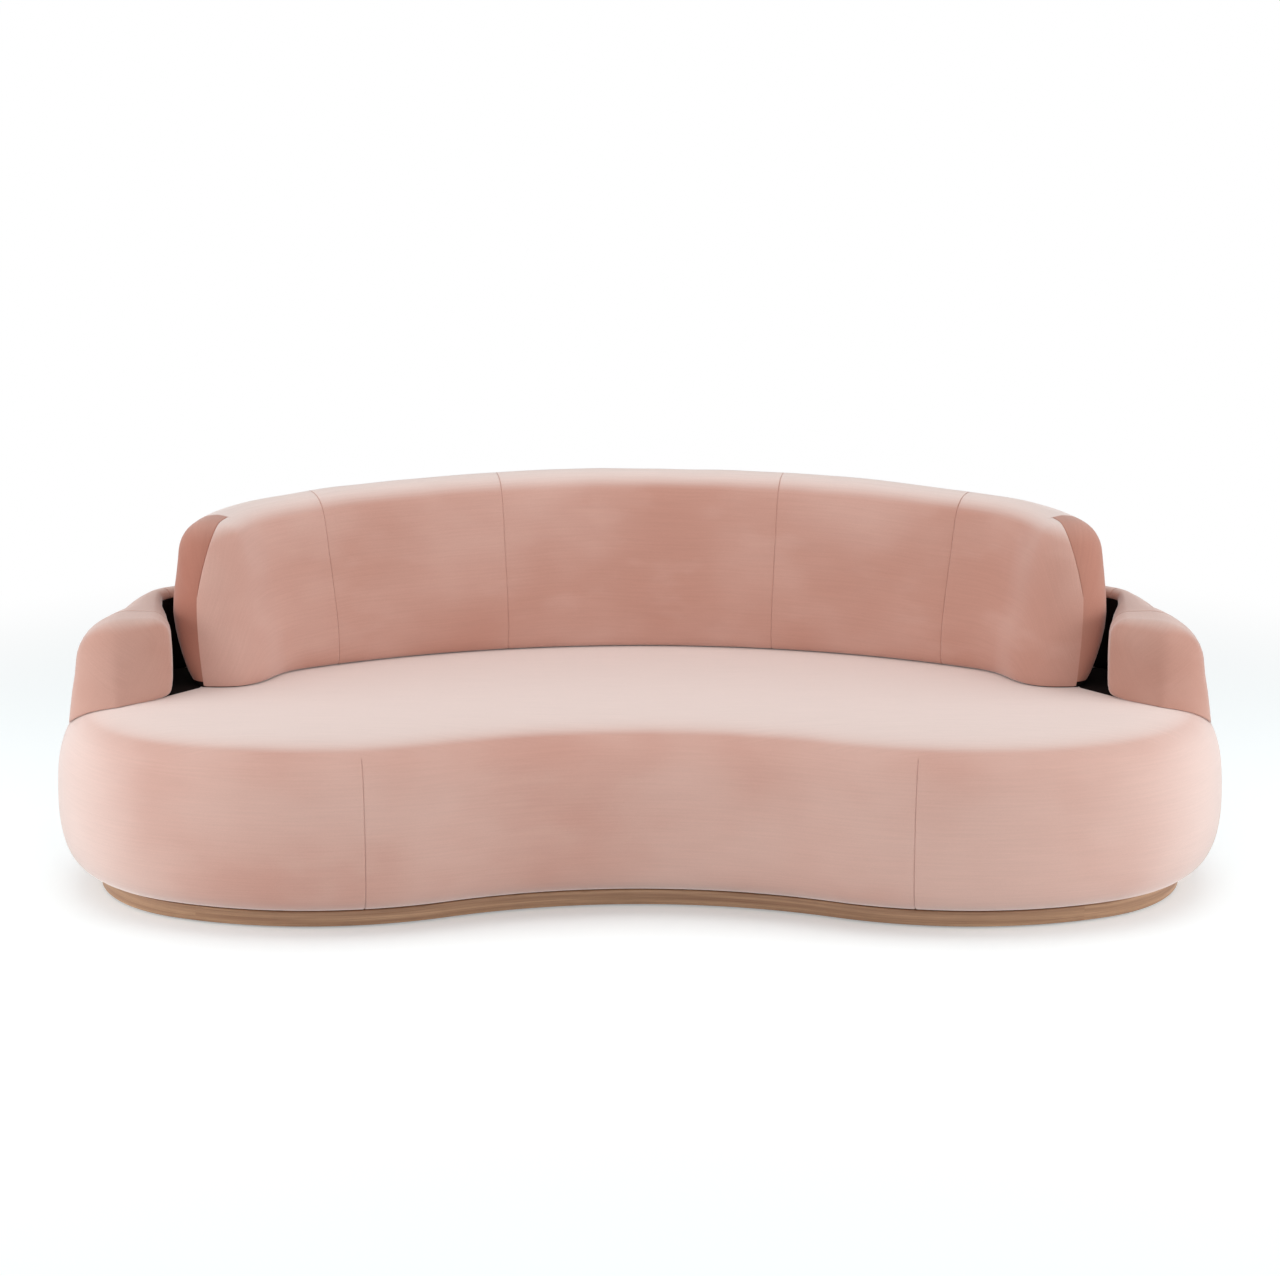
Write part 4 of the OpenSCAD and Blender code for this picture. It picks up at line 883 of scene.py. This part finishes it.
def make_back():
    """The long back cushion, with its panels set off by seams, its end panels in darker velvet as painted
    shade, and its base in near-black cloth: a dark underside that also paints the shade of the crevice at the
    seat.
    """
    row = [stand(s, pad_section(crest(s), tuck_at(s))) for s in pad_half] + nose_rings()
    row = eased(row, len(pad_half) - EASE_BEFORE, len(pad_half) + EASE_PAST)
    rings = [r * np.array([-1, 1, 1]) for r in reversed(row[1:])] + row
    mid, last, columns = len(row) - 1, len(rings) - 1, len(row[0])
    past_seams = len(pad_mid) + len(pad_next) + 1
    gusset = mid + next(i for i in range(past_seams, len(pad_half)) if pad_half[i][2] > turn(GUSSET_A)[0])
    ends = [(0, last - gusset), (gusset, last)]
    round_rear = set(range(SOLE_END, columns)) | set(range(END_SEAM + 1))
    places = [len(pad_mid) - 1, len(pad_mid) + len(pad_next) - 2]
    across = {mid + p * side: None for p in places for side in (-1, 1)}
    across.update({gusset: round_rear, last - gusset: round_rear})
    along = {REAR_SEAM: [(last - gusset, gusset)], END_SEAM: ends, SOLE_START: None}
    sole_start, sole_end = moved(SOLE_START, along) - len(SEAM_ROWS), moved(SOLE_END, along)
    top = moved(END_SEAM, along)
    end_rings = [(moved(a, across), moved(b, across)) for a, b in ends]
    # panel takes the darker velvet of painted shade; base the near-black underside, partly real cloth and
    # partly painted shade along the seat
    cloth, panel, base = range(3)

    def zone(p, i, j):
        if sole_start <= j < sole_end:
            return base
        at_end = any(a <= i < b for a, b in end_rings)
        return panel if j >= sole_end or (at_end and j < top) else cloth
    obj = tube("back_cushion", rings, across, along, PAD_UNEVEN, PAD_SEED,
               [velvet_mat, shaded_gusset_mat, shade_lining_mat], lambda grid: fade(grid[..., 2], *PAD_FADE), zone)
    dress(obj, "velvet", "back_foam", "back_cover_centre", "back_cover_left", "back_cover_right",
          "back_cover_end_left", "back_cover_end_right", "back_gusset_left", "back_gusset_right",
          "back_cover_rear", fill=0.9)


# Plinth

# Radius and steps of its eased edges
PLINTH_EASE, EASE_STEPS = 0.003, 3


def make_plinth(side, row):
    """A bent board with eased edges."""
    d0, d1, z0, z1 = PLINTH_INSET, PLINTH_INSET + PLINTH_T, GLIDE_H, GLIDE_H + PLINTH_H
    e = PLINTH_EASE
    corners = (d0 + e, z1 - e, 180), (d1 - e, z1 - e, 90), (d1 - e, z0 + e, 0), (d0 + e, z0 + e, -90)
    section = []
    for cx, cz, a0 in corners:
        section += [(cx + e * x, cz + e * z) for x, z in quarter(a0, EASE_STEPS)]
    grid = np.array([stand(s, section) for s in row])
    nu, nv = grid.shape[:2]
    ends = [tuple(range(nv)), tuple((nu - 1) * nv + j for j in reversed(range(nv)))]
    faces = grid_faces(nu, nv, False, True) + ends
    uvs = round_lengths(grid).reshape(-1, 2)
    obj = outward(mesh_object(f"plinth_{side}_board", grid.reshape(-1, 3), faces, uvs, [wood_mat]))
    for p in obj.data.polygons[-2:]:
        p.use_smooth = False
    obj.modifiers.new("edges", "WEIGHTED_NORMAL").keep_sharp = True
    dress(obj, "plinth_wood", "plinth_" + side)


def joint_station(row, x):
    """Where the middle of the plinth crosses x: the number of the station before it, and a station there."""
    d = PLINTH_INSET + PLINTH_T / 2
    for n, (a, b) in enumerate(zip(row, row[1:])):
        xa, xb = a[0] - d * a[2], b[0] - d * b[2]
        if (xa - x) * (xb - x) <= 0 and xa != xb:
            f = (x - xa) / (xb - xa)
            return n, tuple(p + (q - p) * f for p, q in zip(a, b))
    return len(row) - 2, row[-1]


n_rear, s_rear = joint_station(half_row, PLINTH_REAR_JOINT_X)
rest = [s_rear] + half_row[n_rear + 1:]
widest_n = max(range(len(rest)), key=lambda i: rest[i][0])
n_front, s_front = joint_station(rest[widest_n:], PLINTH_JOINT_X)
rear_part = half_row[:n_rear + 1] + [s_rear]
side_part = rest[:widest_n + n_front + 1] + [s_front]
front_part = [s_front] + rest[widest_n + n_front + 1:]

make_seat()
make_shell()
make_arm("left", -1)
make_arm("right", 1)
make_back()
make_plinth("rear", both(rear_part))
make_plinth("right", side_part)
make_plinth("left", mirrored(side_part))
make_plinth("front", front_part + mirrored(front_part)[1:])

# Frame nodes keep their shape and get their real materials
FINISH = {
    "glides": glide_mat, "seat_straps_cross": web_mat, "seat_straps_long": web_mat, "back_straps": web_mat,
    "seat_felt": felt_mat, "shell_brackets": steel_mat, "arm_bolts": steel_mat, "back_studs": steel_mat}
for name, obj in nodes.items():
    finish = FINISH.get(name, ply_mat)
    if obj.material_slots:
        for slot in obj.material_slots:
            slot.material = finish
    else:
        obj.data.materials.append(finish)


# Floor, backdrop, light and camera

# The light of the background, and the glow that lifts the floor as it is seen
WORLD_COLOUR, WORLD_LEVEL, FLOOR_LIFT = (1.0, 0.99, 0.98, 1), 0.42, 0.3
WHITE, BLACK = (1, 1, 1, 1), (0, 0, 0, 1)
# The floor's colour and half width, and the distances between which it turns into the white backdrop
FLOOR_COLOUR, FLOOR_SIZE, BACKDROP_FROM, BACKDROP_FULL = (0.8, 0.865, 0.88, 1), 60.0, 1.7, 3.2


def seen_directly(tree):
    """1 for what the camera sees, also in gloss or through glass, and 0 for what only gives light."""
    path = node(tree, "ShaderNodeLightPath")
    seen = maths(tree, "ADD", path.outputs["Is Camera Ray"], path.outputs["Is Glossy Ray"], clamp=True)
    return maths(tree, "ADD", seen, path.outputs["Is Transmission Ray"], clamp=True)


def make_floor():
    """A plain pale floor that keeps the shadow and runs out into white."""
    mat, tree, bsdf = new_material("floor")
    bsdf.inputs["Base Color"].default_value = FLOOR_COLOUR
    bsdf.inputs["Roughness"].default_value = 0.9
    bsdf.inputs["Specular IOR Level"].default_value = 0.1
    seen = seen_directly(tree)
    glow = node(tree, "ShaderNodeEmission", {"Color": WHITE, "Strength": 1.0}).outputs[0]
    lift = node(tree, "ShaderNodeEmission", {"Color": WHITE, "Strength": FLOOR_LIFT}).outputs[0]
    none = node(tree, "ShaderNodeEmission", {"Color": BLACK, "Strength": 0.0}).outputs[0]
    lifted = node(tree, "ShaderNodeMixShader", {0: seen, 1: none, 2: lift}).outputs[0]
    near = node(tree, "ShaderNodeAddShader", {0: bsdf.outputs[0], 1: lifted}).outputs[0]
    place = node(tree, "ShaderNodeTexCoord").outputs["Object"]
    away = node(tree, "ShaderNodeVectorMath", {0: place}, operation="LENGTH").outputs["Value"]
    far = maths(tree, "MULTIPLY", spread(tree, away, BACKDROP_FROM, BACKDROP_FULL), seen)
    shown = node(tree, "ShaderNodeMixShader", {0: far, 1: near, 2: glow}).outputs[0]
    tree.links.new(shown, tree.nodes["Material Output"].inputs["Surface"])
    corners = [(x * FLOOR_SIZE, y * FLOOR_SIZE, 0) for x, y in ((-1, -1), (1, -1), (1, 1), (-1, 1))]
    floor = mesh_object("floor", corners, [(0, 1, 2, 3)], None, [mat])


def make_world():
    """A white background that lights the scene by less than it shows."""
    world = bpy.data.worlds.new("studio")
    world.use_nodes = True
    tree = world.node_tree
    tree.nodes.clear()
    light = node(tree, "ShaderNodeBackground", {"Color": WORLD_COLOUR, "Strength": WORLD_LEVEL}).outputs[0]
    white = node(tree, "ShaderNodeBackground", {"Color": WHITE, "Strength": 1.0}).outputs[0]
    mixed = node(tree, "ShaderNodeMixShader", {0: seen_directly(tree), 1: light, 2: white}).outputs[0]
    node(tree, "ShaderNodeOutputWorld", {"Surface": mixed})
    bpy.context.scene.world = world


def softbox(name, place, aim, size, power):
    """A rectangular lamp at a place, turned to its aim."""
    light = bpy.data.lights.new(name, "AREA")
    light.shape, light.size, light.size_y, light.energy = "RECTANGLE", size[0], size[1], power
    obj = bpy.data.objects.new(name, light)
    obj.location = place
    obj.rotation_euler = (Vector(aim) - Vector(place)).to_track_quat("-Z", "Y").to_euler()
    bpy.context.scene.collection.objects.link(obj)


make_floor()
make_world()
softbox("over", (0, -0.2, 3.4), (0, 0.1, 0.4), (4.4, 2.4), 52)
softbox("left", (-3.4, -1.0, 0.8), (-0.9, -0.1, 0.25), (1.8, 1.4), 40)
softbox("right", (3.4, -1.0, 0.8), (0.9, -0.1, 0.25), (1.8, 1.4), 40)
softbox("front", (0, -5.2, 0.7), (0, 0, 0.15), (5.0, 1.2), 50)

CAMERA_PLACE, CAMERA_PITCH, CAMERA_LENS, CAMERA_FILM = (0.0, -5.7795, 1.89355), 76.273, 78.47, 36.0
camera = bpy.data.cameras.new("camera")
camera.lens, camera.sensor_width = CAMERA_LENS, CAMERA_FILM
camera_obj = bpy.data.objects.new("camera", camera)
camera_obj.location = CAMERA_PLACE
camera_obj.rotation_euler = (math.radians(CAMERA_PITCH), 0, 0)
bpy.context.scene.collection.objects.link(camera_obj)
bpy.context.scene.camera = camera_obj
bpy.context.scene.view_settings.view_transform = "Standard"
